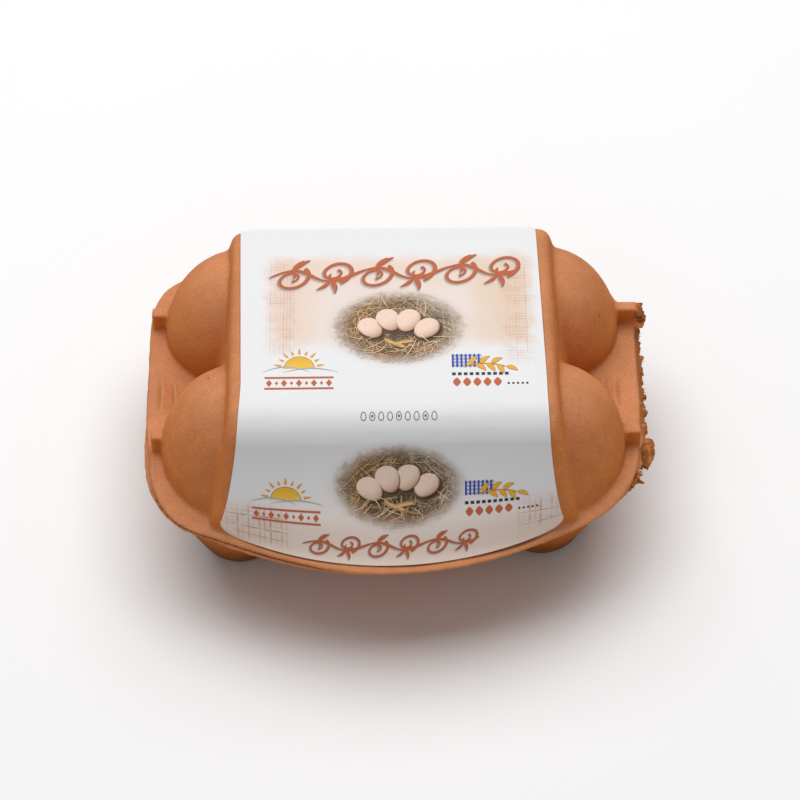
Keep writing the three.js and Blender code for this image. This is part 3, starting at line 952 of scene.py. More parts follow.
def pulp_material(name, pulp, shade=0.0):
    """Moulded pulp: painted light and shade make it paler where it faces up and deeper on its flanks and
    in its creases. Where a shade is given, they also make it darker overall and towards the floor. It
    has soft patches, fine fibre and the mould screen's dots.
    """
    made = Finish(name)
    place = made.place()
    flank = made.attribute("flank", "Fac")
    patches = made.noise(place, 45, 3, 0.5)
    blotches = made.noise(place, 230, 3, 0.6)
    grain = made.noise(place, 1500, 3, 0.65)
    fibres = made.noise(made.turned(place, (1, 4, 4), (0.4, 0.2, 0.7)), 520, 3, 0.6)
    x, y, _ = made.axes(made.turned(place, rotation=(0.95, 0.0, 0.78)))
    step = 2 * math.pi / pulp.wire_pitch
    wobble = made.times(made.noise(place, 90, 2), 5.0)
    a, b = (made.maths("SINE", made.maths("MULTIPLY_ADD", v, step, wobble)) for v in (x, y))
    dots = made.between(made.plus(a, b), 0.3, 1.5)
    _, forward, _ = made.axes(place)
    kept = made.between(made.noise(place, 75, 2), 0.44, 0.60)
    in_front = made.between(forward, 22 * MM, -8 * MM, 0.15, 1.0)
    worn = made.times(kept, in_front, made.between(flank, 0.0, 0.2, 0.25, 1.0))
    imprint = made.times(dots, worn, made.between(grain, 0.35, 0.6, 0.3, 1.0))
    spot, tone = made.cells(place, 170)
    red, green, _ = made.axes(tone)
    pits = made.times(made.between(spot, 0.085, 0.04), made.between(red, 0.87, 0.89))
    flecks = made.times(made.between(spot, 0.10, 0.04), made.between(green, 0.86, 0.88))
    # Painted light and shade: by the flank mark, the pulp goes from pale where it faces up to deep on
    # steep sides.
    sloping = made.mix(made.between(flank, 0.05, 0.50), pulp.pale, pulp.body)
    base = made.mix(made.between(flank, 0.35, 1.05), sloping, pulp.deep)
    clouds = made.between(made.plus(patches, made.times(blotches, 0.6)), 0.60, 1.0, 0.93, 1.06)
    speckle = made.between(grain, 0.30, 0.70, 0.89, 1.06)
    threads = made.between(fibres, 0.55, 0.75, 1.0, 1.12)
    raised = made.plus(made.times(imprint, 0.16), 1.0)
    base = made.scaled(base, made.times(clouds, speckle, threads, raised))
    # Painted shade in the creases' troughs and beside the lid's torn edge.
    hollow_shade = made.between(made.attribute("hollow_shade", "Fac"), 0.1, 2.0, 0.0, 0.85)
    base = made.mix(hollow_shade, base, [c * 0.5 for c in pulp.deep])
    base = made.mix(made.times(flecks, 0.5), base, pulp.torn)
    base = made.mix(made.times(pits, 0.85), base, (0.07, 0.018, 0.006))
    # Painted shade: the tray is dimmed a little towards the deep colour all over, and darkened more
    # towards the floor.
    if shade:
        base = made.mix(shade, base, [c * 0.6 for c in pulp.deep])
        base = made.scaled(base, made.between(made.axes(place)[2], 4 * MM, 33 * MM, 0.45, 1.0))
    made.colour(base)
    layers = (grain, blotches, fibres, imprint, pits, flecks)
    heights = (made.times(*pair) for pair in zip(layers, (0.32, 0.22, 0.22, 0.30, -0.9, 0.3)))
    made.bump(made.plus(*heights), 0.26 * MM, 0.8)
    made.constants(Roughness=0.9, Specular_IOR_Level=0.12)
    return made.material


def torn_material(pulp):
    """Torn fibre ends: paler threads over a darker felt."""
    made = Finish("Torn pulp")
    place = made.place()
    threads = made.noise(made.turned(place, (1, 3, 3), (0, 0, 0.3)), 800, 4, 0.7)
    felt = made.noise(place, 420, 3, 0.6)
    base = made.mix(made.between(threads, 0.42, 0.64), pulp.deep, pulp.torn)
    made.colour(made.scaled(base, made.between(felt, 0.36, 0.62, 0.38, 0.95)))
    made.bump(made.plus(threads, made.times(felt, 0.6)), 0.35 * MM, 0.9)
    made.constants(Roughness=0.95, Specular_IOR_Level=0.1)
    return made.material


def soft_span(made, value, low, high, blur):
    """1 from one place to another, in millimetres, with blurred ends."""
    rise = made.between(value, (low - blur) * MM, (low + blur) * MM)
    return made.times(rise, made.between(value, (high + blur) * MM, (high - blur) * MM))


def soft_box(made, x, y, across, along, blur):
    """A field with blurred edges on the label."""
    return made.times(soft_span(made, x, *across, blur), soft_span(made, y, *along, blur))


def straw_streaks(made, sheet, scale, seed):
    """Short straws lying every way: stretched noise, turned by its own angle in each cell."""
    shifted = made.turned(sheet, location=(seed, seed * 0.7, 0))
    _, tone = made.cells(shifted, scale)
    angle, level, _ = made.axes(tone)
    sockets = {"Vector": shifted, "Angle": made.times(angle, math.pi)}
    turn = made.node("ShaderNodeVectorRotate", sockets, rotation_type="Z_AXIS").outputs[0]
    thread = made.noise(made.turned(turn, (90, 2100, 1)), 1, 2, 0.5)
    return made.times(made.between(thread, 0.50, 0.66), made.between(level, 0.0, 0.9, 0.35, 1.0))


def woven(made, x, y, sheet, pitch, thin):
    """Thin threads both ways, some bolder than others."""
    step = 2 * math.pi / pitch
    wobble = made.times(made.noise(sheet, 60, 2), 1.6)
    threads = []
    for value, keep in ((x, (1, 0, 0)), (y, (0, 1, 0))):
        line = made.between(made.maths("SINE", made.plus(made.times(value, step), wobble)), thin, 0.95)
        bold = made.between(made.noise(made.turned(sheet, keep), 420, 1), 0.40, 0.62, 0.12, 1.0)
        threads.append(made.times(line, bold))
    return made.maths("MAXIMUM", *threads)


def nest_ground(made, sheet, x, y, base, nest, colours):
    """A nest's soft oval of straw: golden on the left, paler on the right, darkest in the middle."""
    (middle_x, middle_y), (radius_x, radius_y) = nest["middle"], nest["radii"]
    ax = made.times(made.plus(x, -middle_x), 1 / radius_x)
    ay = made.times(made.plus(y, -middle_y), 1 / radius_y)
    away = made.maths("SQRT", made.plus(made.times(ax, ax), made.times(ay, ay)))
    frayed = made.plus(away, made.times(made.plus(made.noise(sheet, 330, 3, 0.6), -0.5), 0.34))
    hay = made.mix(made.between(ax, -0.7, 0.6), (0.52, 0.30, 0.13), (0.47, 0.35, 0.235))
    hay = made.mix(made.between(ay, 0.2, 0.8), hay, (0.48, 0.26, 0.13))
    layers = (straw_streaks(made, sheet, *layer) for layer in ((190, 0.3), (290, 1.1)))
    streaks = made.maths("MAXIMUM", *layers)
    dusk = made.mix(made.between(away, 0.30, 0.95), colours.nest, (0.24, 0.155, 0.09))
    hay = made.mix(made.times(streaks, made.between(away, 0.15, 0.75, 0.35, 1.0)), dusk, hay)
    base = made.mix(made.between(away, 1.16, 0.74, 0.0, 0.5), base, (0.50, 0.36, 0.25))
    return made.mix(made.between(frayed, 1.02, 0.74), base, hay)


def paper_material(colours):
    """Glossy label paper with its soft printed fields: peach, woven lines and the nests' grounds, and
    painted shade in grey streaks along the crease.
    """
    made = Finish("Label paper")
    sheet = made.attribute("sheet")
    x, y, _ = made.axes(sheet)
    cloud = made.noise(sheet, 120, 3, 0.55)
    shift = made.times(made.plus(cloud, -0.5), 7 * MM)
    x_soft, y_soft = made.plus(x, shift), made.plus(y, shift)
    fields = {name: soft_box(made, x_soft, y_soft, *field) for name, field in FIELDS.items()}
    fading = made.between(y, 92 * MM, 80 * MM, 0.3, 1.0)
    strength = made.times(fields["peach"], fading, made.between(fields["middle"], 0, 1, 0.68, 0.40))
    base = made.mix(strength, colours.paper, colours.peach)
    base = made.mix(made.times(fields["golden"], 0.34), base, (0.70, 0.53, 0.34))
    low_field = made.times(made.between(y_soft, 132 * MM, 156 * MM), 0.62)
    base = made.mix(low_field, base, colours.peach)
    patchy = made.between(made.noise(sheet, 260, 3, 0.6), 0.36, 0.60)
    fine, coarse = (woven(made, x, y, sheet, *weave) for weave in ((1.05 * MM, 0.2), (1.7 * MM, -0.2)))
    top_cloth = [fields[name] for name in ("left cloth", "right cloth")]
    low_cloth = [fields[name] for name in ("low left cloth", "low right cloth")]
    cloth = made.plus(*top_cloth, *low_cloth)
    bolder = made.plus(*(made.times(part, bold) for part, bold in zip(low_cloth, (1.7, 1.3))))
    threads = made.plus(made.times(fine, made.plus(*top_cloth)), made.times(coarse, bolder))
    linen = made.times(threads, made.plus(made.times(patchy, 0.34), 0.20))
    base = made.mix(linen, base, colours.linen)
    base = made.mix(made.times(patchy, cloth, 0.16), base, (0.74, 0.42, 0.32))
    for nest in NESTS:
        base = nest_ground(made, sheet, x, y, base, nest, colours)
    fibre = made.noise(sheet, 2500, 2, 0.5)
    base = made.mix(made.between(fibre, 0.3, 0.7, 0.0, 0.04), base, (0.6, 0.6, 0.6))
    ripples = made.noise(made.turned(sheet, (22, 150, 1)), 1, 3, 0.55)
    at_crease = soft_box(made, x, y, (-60, 60), (106, 122), 7)
    # Painted shade: grey streaks along the ripples near the crease stand in for the shading of the
    # crinkled paper.
    grey = made.times(made.between(ripples, 0.42, 0.60), at_crease, 0.10)
    made.colour(made.mix(grey, base, (0.55, 0.56, 0.58)))
    creased = made.times(ripples, at_crease, 1.6)
    made.bump(made.plus(made.times(cloud, 0.7), made.times(fibre, 0.02), creased), 0.25 * MM, 0.4)
    made.constants(Roughness=0.32, Specular_IOR_Level=0.16)
    return made.material


def ink_material():
    """Printed colour: each shape's own tint, a little uneven, under the paper's gloss."""
    made = Finish("Printed ink")
    tint = made.attribute("ink", "Color")
    mottle = made.noise(made.place(), 1500, 3, 0.6)
    made.colour(made.scaled(tint, made.between(mottle, 0.3, 0.7, 0.97, 1.03)))
    made.bump(mottle, 0.02 * MM, 0.3)
    made.constants(Roughness=0.32, Specular_IOR_Level=0.09)
    return made.material


def floor_material(stage):
    made = Finish("Plain floor")
    tone = made.noise(made.place(), 3, 2, 0.5)
    paler = [min(1, c + 0.02) for c in stage.floor]
    made.colour(made.mix(made.between(tone, 0.3, 0.7), stage.floor, paler))
    made.constants(Roughness=0.8, Specular_IOR_Level=0.2)
    return made.material


# Printing.


class Press:
    """Gathers flat coloured shapes in the label's plane and lays them on its face as one piece."""

    def __init__(self, skin):
        self.skin = skin
        self.points, self.lifts, self.tints, self.faces = [], [], [], []
        self.printed = 0

    def shape(self, points, faces, tints, layer):
        """Adds a shape. Shapes of one layer that overlap still lie a hair's breadth apart."""
        first = len(self.points)
        self.printed += 1
        lift = layer * LAYER + self.printed % 8 * LAYER / 9
        for face in faces:
            a, b, c = (points[i] for i in face[:3])
            clockwise = (b[0] - a[0]) * (c[1] - a[1]) - (b[1] - a[1]) * (c[0] - a[0]) < 0
            order = face if clockwise else face[::-1]
            self.faces.append([first + i for i in order])
        self.points += [tuple(p) for p in points]
        self.lifts += [lift] * len(points)
        tints = np.broadcast_to(np.asarray(tints, float), (len(points), 3))
        self.tints += [tuple(t) for t in tints]

    def stroke(self, path, widths, tints, layer):
        """A stroke of changing width along a path. tints is one colour, or one for each point."""
        path = np.asarray(path, float)
        along = np.gradient(path, axis=0)
        along /= np.maximum(np.linalg.norm(along, axis=1), 1e-12)[:, None]
        across = pairs(-along[:, 1], along[:, 0])
        half = np.broadcast_to(np.asarray(widths, float) / 2, len(path))[:, None]
        rows = 2 + int(half.max() * 2 / STRIP)
        points = np.vstack([path + across * half * side for side in np.linspace(1, -1, rows)])
        count = len(path)
        faces = [
            [row * count + i, row * count + i + 1, (row + 1) * count + i + 1, (row + 1) * count + i]
            for row in range(rows - 1)
            for i in range(count - 1)
        ]
        tints = np.asarray(tints, float)
        if tints.ndim == 2:
            tints = np.vstack([tints] * rows)
        self.shape(points, faces, tints, layer)

    def disc(self, middle, radii, tint, layer, turn=0.0, egg=0.0, span=(0.0, 2 * math.pi)):
        """An ellipse or egg, filled ring by ring. tint is a colour, or gives one for (u, v)."""
        rings = max(2, math.ceil(max(radii) / STRIP))
        sides = 14 if max(radii) < 1.5 * MM else 36
        start, end = span
        angles = start + (end - start) * np.arange(sides + 1) / sides
        unit = [(0.0, 0.0)]
        for ring in range(1, rings + 1):
            out = ring / rings
            unit += [(out * math.cos(angle), out * math.sin(angle)) for angle in angles]
        unit = np.array(unit)
        tints = np.array([tint(u, v) for u, v in unit]) if callable(tint) else tuple(tint)
        flat = unit * radii
        flat[:, 1] *= 1 - egg * unit[:, 0]
        c, s = math.cos(turn), math.sin(turn)
        flat = flat @ np.array([[c, s], [-s, c]]) + middle
        faces = [[0, 1 + k, 2 + k] for k in range(sides)]
        for ring in range(rings - 1):
            a, b = 1 + ring * (sides + 1), 1 + (ring + 1) * (sides + 1)
            faces += [[a + k, b + k, b + k + 1, a + k + 1] for k in range(sides)]
        self.shape(flat, faces, tints, layer)

    def bar(self, corner, size, tint, layer):
        """A rectangle that follows the sheet."""
        (x, y), (wide, deep) = corner, size
        steps = max(3, 1 + math.ceil(wide / STRIP))
        path = pairs(np.linspace(x, x + wide, steps), np.full(steps, y + deep / 2))
        self.stroke(path, deep, tint, layer)

    def piece(self, name):
        flat = np.array(self.points)
        lifts = INK_LIFT + np.array(self.lifts)
        printed = linked(name, self.skin.label_face(flat[:, 0], flat[:, 1], lifts), faces=self.faces)
        tints = pairs(self.tints, np.ones(len(flat)))
        marked(printed, "ink", "FLOAT_COLOR", "color", tints)
        edit(printed, (bpy.ops.mesh.remove_doubles, {"threshold": 0.001 * MM}))
        return apply(printed, "SOLIDIFY", thickness=INK_DEPTH, offset=-1)


def blended(a, b, share):
    return tuple(np.asarray(a, float) * (1 - share) + np.asarray(b, float) * share)


def hay_tint(x, y, draw):
    """A straw's colour by its place in the unit circle of the nest."""
    tint = blended(HAY_LEFT, HAY_RIGHT, float(smoothstep(-0.6, 0.6, x)))
    tint = blended(tint, HAY_FRONT, float(smoothstep(0.2, 0.9, y)))
    away = math.hypot(x, y)
    strength = draw.choice((0.16, 0.3, 0.6, 0.9, 1.2, 1.5)) * (0.5 + 0.55 * away)
    return np.clip(np.array(tint) * strength, 0.01, 0.95)


def print_straw(press, draw, nest, ground, count, pale=False):
    """Straws round a nest. Each fades towards the ground at the nest's rim."""
    (mx, my), (rx, ry) = nest["middle"], nest["radii"]
    for index in range(count):
        away = math.sqrt(draw.uniform(0.08, 1.0))
        angle = draw.uniform(0, 2 * math.pi)
        reach = draw.uniform(1.4, 5.2) * MM
        heading = angle + math.pi / 2 + draw.gauss(0, 0.8)
        if pale:
            away, angle = draw.uniform(0.42, 0.86), draw.uniform(0.10 * math.pi, 0.90 * math.pi)
            reach = draw.uniform(2.4, 5.5) * MM
            heading = draw.choice((0.5, 1.0, 2.2, 2.7)) + draw.gauss(0, 0.25)
        x, y = away * math.cos(angle), away * math.sin(angle)
        steps = max(5, int(reach / (0.7 * MM)))
        shares = np.linspace(-1, 1, steps)
        turns = heading + draw.gauss(0, 0.18) * shares
        across = mx + x * rx + reach * shares * np.cos(turns)
        path = pairs(across, my + y * ry + reach * shares * np.sin(turns) * 0.85)
        spread = np.hypot((path[:, 0] - mx) / rx, (path[:, 1] - my) / ry)
        path, spread = path[spread < 1.0], spread[spread < 1.0]
        if len(path) < 3:
            continue
        tint = np.array(HAY_PALE) if pale else hay_tint(x, y, draw)
        fade = smoothstep(0.66, 1.0, spread)[:, None]
        tints = tint * (1 - fade) + np.array(ground) * fade
        wide = draw.uniform(0.16, 0.34) * MM
        widths = wide * (1 - 0.5 * np.abs(np.linspace(-1, 1, len(path)))) * (1 - 0.6 * fade[:, 0])
        press.stroke(path, widths, tints, 12.5 if pale else 4.0 * index / count)


def print_eggs(press, nest, colours, eggs):
    """Four eggs side by side in an arc, each lit from the upper left and darker at its foot."""
    (mx, my), (rx, ry) = nest["middle"], nest["radii"]
    lit, shade, foot = (np.array(tint) for tint in (colours.egg, EGG_SHADE, EGG_FOOT))

    def gloom(u, v):
        return blended(*EGG_GLOOM, float(smoothstep(0.7, 1.0, math.hypot(u, v))))

    for index, (dx, dy, turn, size) in enumerate(eggs):
        middle = (mx + dx * rx, my + dy * ry)

        def tint(u, v):
            across = u * math.cos(turn) - v * math.sin(turn)
            down = u * math.sin(turn) + v * math.cos(turn)
            reach = math.hypot(u, v)
            dark = float(np.clip(0.40 * across + 0.62 * down + 0.34 * reach**2 + 0.02, 0, 1)) ** 1.4
            low = smoothstep(-0.6, 0.4, down + 0.4 * across)
            rim = float(smoothstep(0.88, 0.99, reach)) * float(low)
            skin = lit * (1 - dark) + shade * dark
            return tuple(skin * (1 - rim) + foot * rim)

        radii = (4.55 * MM * size, 3.6 * MM * size)
        below = (middle[0] + 0.5 * MM, middle[1] + 0.7 * MM)
        press.disc(below, (radii[0] + 0.4 * MM, radii[1] + 0.4 * MM), gloom, 4.6, turn, 0.12)
        press.disc(middle, radii, tint, 6 + 1.5 * index, turn, 0.12)


def print_wheat(press, root, heading, size, tint):
    """An ear of wheat on its stalk."""
    shares = np.linspace(0, 1, 16)
    turns = heading + 0.35 * shares
    stalk = np.cumsum(pairs(np.cos(turns), np.sin(turns)) * size / 15, axis=0) + root
    press.stroke(stalk, (0.32 - 0.12 * shares) * MM, blended(tint, (0.25, 0.13, 0.05), 0.35), 13)
    for k in range(7):
        at = 15 - 1.2 * k
        spot = np.array([np.interp(at, range(16), stalk[:, i]) for i in (0, 1)])
        for hand in (-1, 1):
            lean = turns[int(at)] + hand * 0.5
            grain = spot + np.array([math.cos(lean), math.sin(lean)]) * 0.6 * MM
            bright = 1.15 if hand > 0 else 0.72
            press.disc(grain, (0.85 * MM, 0.30 * MM), np.array(tint) * bright, 14, lean, 0.1)


def slanted(path, middle_y):
    """Leans a path to the right, as handwriting does."""
    path = np.array(path, float)
    path[:, 0] -= 0.32 * (path[:, 1] - middle_y)
    return path


def leaf_path(root, heading, size, steps=16):
    turns = heading + 0.8 * np.linspace(0, 1, steps)
    strides = pairs(np.cos(turns), np.sin(turns)) * size / (steps - 1)
    return np.cumsum(strides, axis=0) + root


def print_vine(press, start, end, swing, waves, scale, tint, ground):
    """A running scroll of open spirals with small leaves, over its own soft shadow."""
    unit = MM * scale
    shares = np.linspace(0, 1, 120)
    angle = shares * waves * 2 * math.pi
    (x, y), (end_x, end_y) = start, end
    rise = y + (end_y - y) * shares - swing * np.sin(angle)
    stem = pairs(x + (end_x - x) * shares, rise)
    ends = np.sqrt(np.clip(np.minimum(shares, 1 - shares) / 0.05, 0.03, 1))
    strokes = [(stem, (0.42 + 0.62 * np.abs(np.cos(angle + 0.6))) * ends)]
    count = int(2 * waves)
    for k in range(count):
        at = (k + 0.5) / count
        side = -1 if k % 2 == 0 else 1
        crest = np.array([np.interp(at, shares, stem[:, i]) for i in (0, 1)])
        wind = np.linspace(0, 1, 46)
        turns = side * (2.1 + 8.2 * wind)
        radius = (4.9 - 3.7 * wind) * unit
        hub = crest + np.array([0.6 * unit, -side * 3.4 * unit])
        spiral = hub + pairs(-np.cos(turns) * radius * 1.15, np.sin(turns) * radius)
        strokes.append((spiral, 1.05 - 0.60 * wind))
        bud = spiral[-1] + pairs(np.linspace(-0.5, 0.5, 5), np.zeros(5)) * unit
        strokes.append((bud, np.array([0.3, 0.8, 0.95, 0.8, 0.3])))
        for swerve, lean, size in ((0.9, -0.3, 5.6), (1.7, 0.2, 4.4), (-0.8, 0, 3.4), (-2.2, 0, 3.0)):
            path = leaf_path(crest, side * swerve + lean, size * unit)
            strokes.append((path, 0.24 * size * np.sin(np.pi * np.linspace(0, 1, 16) ** 0.75) + 0.12))
    layers = (
        ((-0.35, 0.75), 0.80, blended((0.28, 0.24, 0.20), ground, 0.66), 0),
        ((-0.30, 0.50), 0.34, blended((0.13, 0.10, 0.08), ground, 0.40), 1.2),
        ((0.05, 0.10), 0.22, blended(tint, (0.10, 0.045, 0.02), 0.55), 2.4),
        ((0, 0), 0.0, tint, 3.6),
    )
    for shift, swell, shade, layer in layers:
        for path, widths in strokes:
            path = slanted(path, y) + np.array(shift) * unit
            press.stroke(path, (widths + swell) * unit, shade, layer)


def upright(x, y, half, steps):
    """A straight path along the label, to both sides of a place."""
    return pairs(np.full(steps, x), y + np.linspace(-half, half, steps))


def print_rising_sun(press, middle, scale, colours):
    """A plain emblem: a half sun over two hills, and two lines with lozenges between them."""
    ochre, red = colours.ochre, colours.terracotta
    mx, my = middle
    unit = MM * scale

    def glow(_, v):
        return blended(ochre, (0.90, 0.66, 0.12), 0.5 + 0.5 * v)

    for k in range(9):
        angle = math.pi * (1.06 + 0.11 * k)
        tip = np.array([math.cos(angle), math.sin(angle)])
        reach = 8.0 if k % 2 == 0 else 7.2
        ray = np.array(middle) + np.linspace(tip * 5.6, tip * reach, 5) * unit
        press.stroke(ray, np.array([0.8, 0.8, 0.65, 0.45, 0.15]) * unit, blended(ochre, red, 0.25), 1)
    rim = blended(ochre, (0.30, 0.12, 0.02), 0.6)
    for radius, tint, layer in ((4.8, rim, 0.5), (4.55, glow, 2)):
        press.disc(middle, (radius * unit, radius * unit), tint, layer, span=(math.pi, 2 * math.pi))
    for offset, reach, rise in ((-4.0, 7.5, 2.3), (3.6, 8.5, 1.7)):
        shares = np.linspace(-1, 1, 26)
        height = my + (1.6 - rise * np.cos(shares * 1.5)) * unit
        hill = pairs(mx + (offset + reach * shares) * unit, height)
        press.stroke(hill, 0.5 * unit * (1.1 - np.abs(shares)), HILL_GREY, 3)
    for rise in (3.2, 7.4):
        press.bar((mx - 10.6 * unit, my + rise * unit), (21.2 * unit, 0.7 * unit), red, 2)
    for k in range(-4, 5):
        tall, wide = (1.35, 0.95) if k % 2 == 0 else (0.75, 0.5)
        spine = upright(mx + k * 2.3 * unit, my + 5.65 * unit, tall * unit, 5)
        press.stroke(spine, np.array([0.08, 1, 2, 1, 0.08]) * wide * unit, red, 2)


def print_check_patch(press, corner, scale, colours):
    """A checked cloth patch with an ochre sprig, a row of dots and a row of terracotta lozenges."""
    x, y = corner
    unit = MM * scale
    press.bar((x, y), (9.8 * unit, 5.4 * unit), PATCH_PAPER, 0)
    pale = blended(colours.blue, PATCH_PAPER, 0.45)
    for k in range(4):
        press.bar((x, y + (0.35 + k * 1.35) * unit), (9.8 * unit, 0.65 * unit), pale, 1)
    for k in range(7):
        press.bar((x + (0.05 + k * 1.4) * unit, y), (0.65 * unit, 5.4 * unit), colours.blue, 2)
    root = np.array([x + 3.6 * unit, y + 5.6 * unit])
    twig = leaf_path(root, -0.42, 13.5 * unit, 24)
    press.stroke(twig, 0.5 * unit, blended(colours.ochre, (0.25, 0.10, 0.02), 0.5), 3)
    for k in range(7):
        at = twig[3 + 3 * k if k < 6 else 23]
        lean = -0.42 + 0.8 * (3 + 3 * k) / 23 + (0.75 if k % 2 else -0.75) * (k < 6)
        blade = leaf_path(at, lean - 0.3, 4.2 * unit)
        width = 1.5 * unit * np.sin(np.pi * np.linspace(0, 1, 16) ** 0.8)
        press.stroke(blade, width + 0.3 * unit, blended(colours.ochre, (0.25, 0.10, 0.02), 0.6), 3)
        press.stroke(blade, width, colours.ochre, 4.2)
    for k in range(10):
        press.bar((x + k * 1.9 * unit, y + 7.6 * unit), (1.2 * unit, 1.15 * unit), colours.ink, 1)
    for k in range(5):
        spine = upright(x + (1.5 + k * 3.3) * unit, y + 11.5 * unit, 1.8 * unit, 7)
        widths = np.array([0.1, 1.3, 2.2, 2.6, 2.2, 1.3, 0.1]) * unit
        press.stroke(spine, widths, colours.terracotta, 1)
    for k in range(5):
        press.disc((x + (18.2 + k * 1.5) * unit, y + 12.2 * unit), (0.42 * unit,) * 2, colours.ink, 1)


def print_egg_row(press, middle):
    """A row of small outlined eggs in grey, along the crease."""
    angles = np.linspace(0, 2 * math.pi, 25)
    for k in range(9):
        x = middle[0] + (k - 4) * 2.7 * MM
        half = 0.78 * MM * (1 - 0.15 * np.sin(angles))
        ring = pairs(x + half * np.cos(angles), middle[1] - 1.2 * MM * np.sin(angles))
        press.stroke(ring, 0.24 * MM, OUTLINE_GREY, 1)
        if k % 3 == 1:
            press.disc((x, middle[1]), (0.34 * MM, 0.45 * MM), OUTLINE_GREY, 1)


# Operators.


class MakeTray(bpy.types.Operator):
    """Makes the tray: flange, pan, six cups and the fold at the back"""

    bl_idname = "egg_box.make_tray"
    bl_label = "Make tray"

    def execute(self, context):
        sizes, pulp = context.scene.egg_box_sizes, context.scene.egg_box_pulp
        top = SEAM_Z - GAP
        bottom = top - sizes.flange
        outline = flange_outline(TRAY_EDGE, TRAY_SEED)
        flange = plate("Flange", outline, bottom, top)
        cut = {"plane_co": (0, 0, top - 0.8 * MM), "plane_no": (0, 0, 1)}
        edit(flange, (bpy.ops.mesh.bisect, cut))
        drawn_in(flange, outline, bottom, (0.3 + 2.0 * frontness(outline)) * MM)
        forms = [flange, make_pan()]
        forms += [make_cup(sizes, column, row) for column in (-1, 0, 1) for row in (-1, 1)]
        forms.append(make_fold())
        tray = moulded("Tray", forms, *TRAY_SKIN, TEAR_START_X - 1 * MM, (bottom, top + 1 * MM))
        points = places(tray)
        torn_side = smoothstep(76.2 * MM, 78.2 * MM, points[:, 0])
        torn_side = torn_side * smoothstep(-24 * MM, -18 * MM, points[:, 1])
        points[:, 2] = np.maximum(points[:, 2] - TORN_DROP * torn_side, 0)
        put(tray, points)
        hand_over(tray, pulp_material("Tray pulp", pulp, 0.12), "pulp_tray", "tray")
        return {"FINISHED"}


def make_fold():
    """The bead along the back that joins tray and lid."""
    bead = {"vertices": 24, "radius": FOLD_RADIUS, "depth": FOLD_RIGHT - FOLD_LEFT}
    fold = grown("Fold", bpy.ops.mesh.primitive_cylinder_add, **bead)
    points = places(fold)[:, [2, 1, 0]] * (1, -1, 1)
    return put(fold, points + ((FOLD_LEFT + FOLD_RIGHT) / 2, 50.8 * MM + FOLD_RADIUS, SEAM_Z))


class MakeLid(bpy.types.Operator):
    """Makes the lid: flange, raised block, four end domes and four lugs"""

    bl_idname = "egg_box.make_lid"
    bl_label = "Make lid"

    def execute(self, context):
        sizes, pulp = context.scene.egg_box_sizes, context.scene.egg_box_pulp
        skin = Skin(sizes)
        deck = skin.deck
        outline = flange_outline(LID_EDGE, LID_SEED)
        flange = plate("Flange", outline, SEAM_Z, deck)
        cut = {"plane_co": (0, 0, SEAM_Z + 0.95 * MM), "plane_no": (0, 0, 1)}
        edit(flange, (bpy.ops.mesh.bisect, cut))
        drawn_in(flange, outline, deck, np.full(len(outline), 0.3 * MM))
        forms = [flange, make_block(skin)]
        forms += [make_dome(sizes, *middle) for middle in DOMES]
        forms += [make_lug(sizes, *lug) for lug in LUGS]
        lid = moulded("Lid", forms, sizes.grain, LID_ROUNDS, TEAR_START_X, (SEAM_Z, deck), LUGS)
        hand_over(lid, pulp_material("Lid pulp", pulp), "pulp_lid", "lid")
        return {"FINISHED"}


class MakeTornFringe(bpy.types.Operator):
    """Makes the crumbs and fibres along the torn side"""

    bl_idname = "egg_box.make_torn_fringe"
    bl_label = "Make torn fringe"

    def execute(self, context):
        sizes, pulp = context.scene.egg_box_sizes, context.scene.egg_box_pulp
        draw = random.Random(TEAR_SEED)
        noise.seed_set(TEAR_SEED)
        top = SEAM_Z - GAP
        forms = []
        for _ in range(EDGE_CRUMBS):
            y = draw.uniform(TRAY_EDGE["side_right"] + 1, TEAR_END_Y - 2)
            middle = (tear_x(y, draw.uniform(-0.9, -0.1)), y * MM, top - draw.uniform(1.0, 2.8) * MM)
            size = draw.uniform(0.3, 0.65) * MM
            stretch = [size * draw.uniform(*span) for span in ((0.7, 1.2), (0.8, 2.2), (0.5, 1.0))]
            forms.append(make_lump("Crumb", middle, stretch, draw.uniform(0, 99), 0.7, 2))
        forms += seam_crumbs(random.Random(SEAM_SEED))
        for x, y, z, wide, deep, thick, seed in CRUMBS:
            place, size = (x * MM, y * MM, top + z * MM), (wide * MM, deep * MM, thick * MM)
            forms.append(make_lump("Crumb", place, size, seed, 0.7, 3))
        forms.append(make_shell("Scrap", HANGING_SCRAP, top, 0.8, 2.0))
        forms.append(make_shell("Shard", TORN_LUG, top + GAP + sizes.flange, 0.1, 7.0))
        for share in np.linspace(0, 1, 7):
            x, y, drop = 75.2 + 2.7 * share, -33.2 - 0.7 * share, 0.7 + 0.5 * share
            size = (1.3 - 0.9 * share) * MM
            stretch = (size, size * 0.8, size * 0.7)
            place = (x * MM, y * MM, top - drop * MM)
            forms.append(make_lump("Spike", place, stretch, 20 + 3 * share, 0.6, 2))
        forms.append(fibres_along(draw, top))
        torn = joined("TornEdge", forms)
        hand_over(torn, torn_material(pulp), "pulp_tray", "tray", smooth_angle=TORN_CREASE)
        return {"FINISHED"}


def tear_x(y, shift):
    """Where the tray's torn side lies at y in millimetres, in metres."""
    return (torn_side_x(y, TRAY_EDGE, TRAY_SEED) + shift) * MM


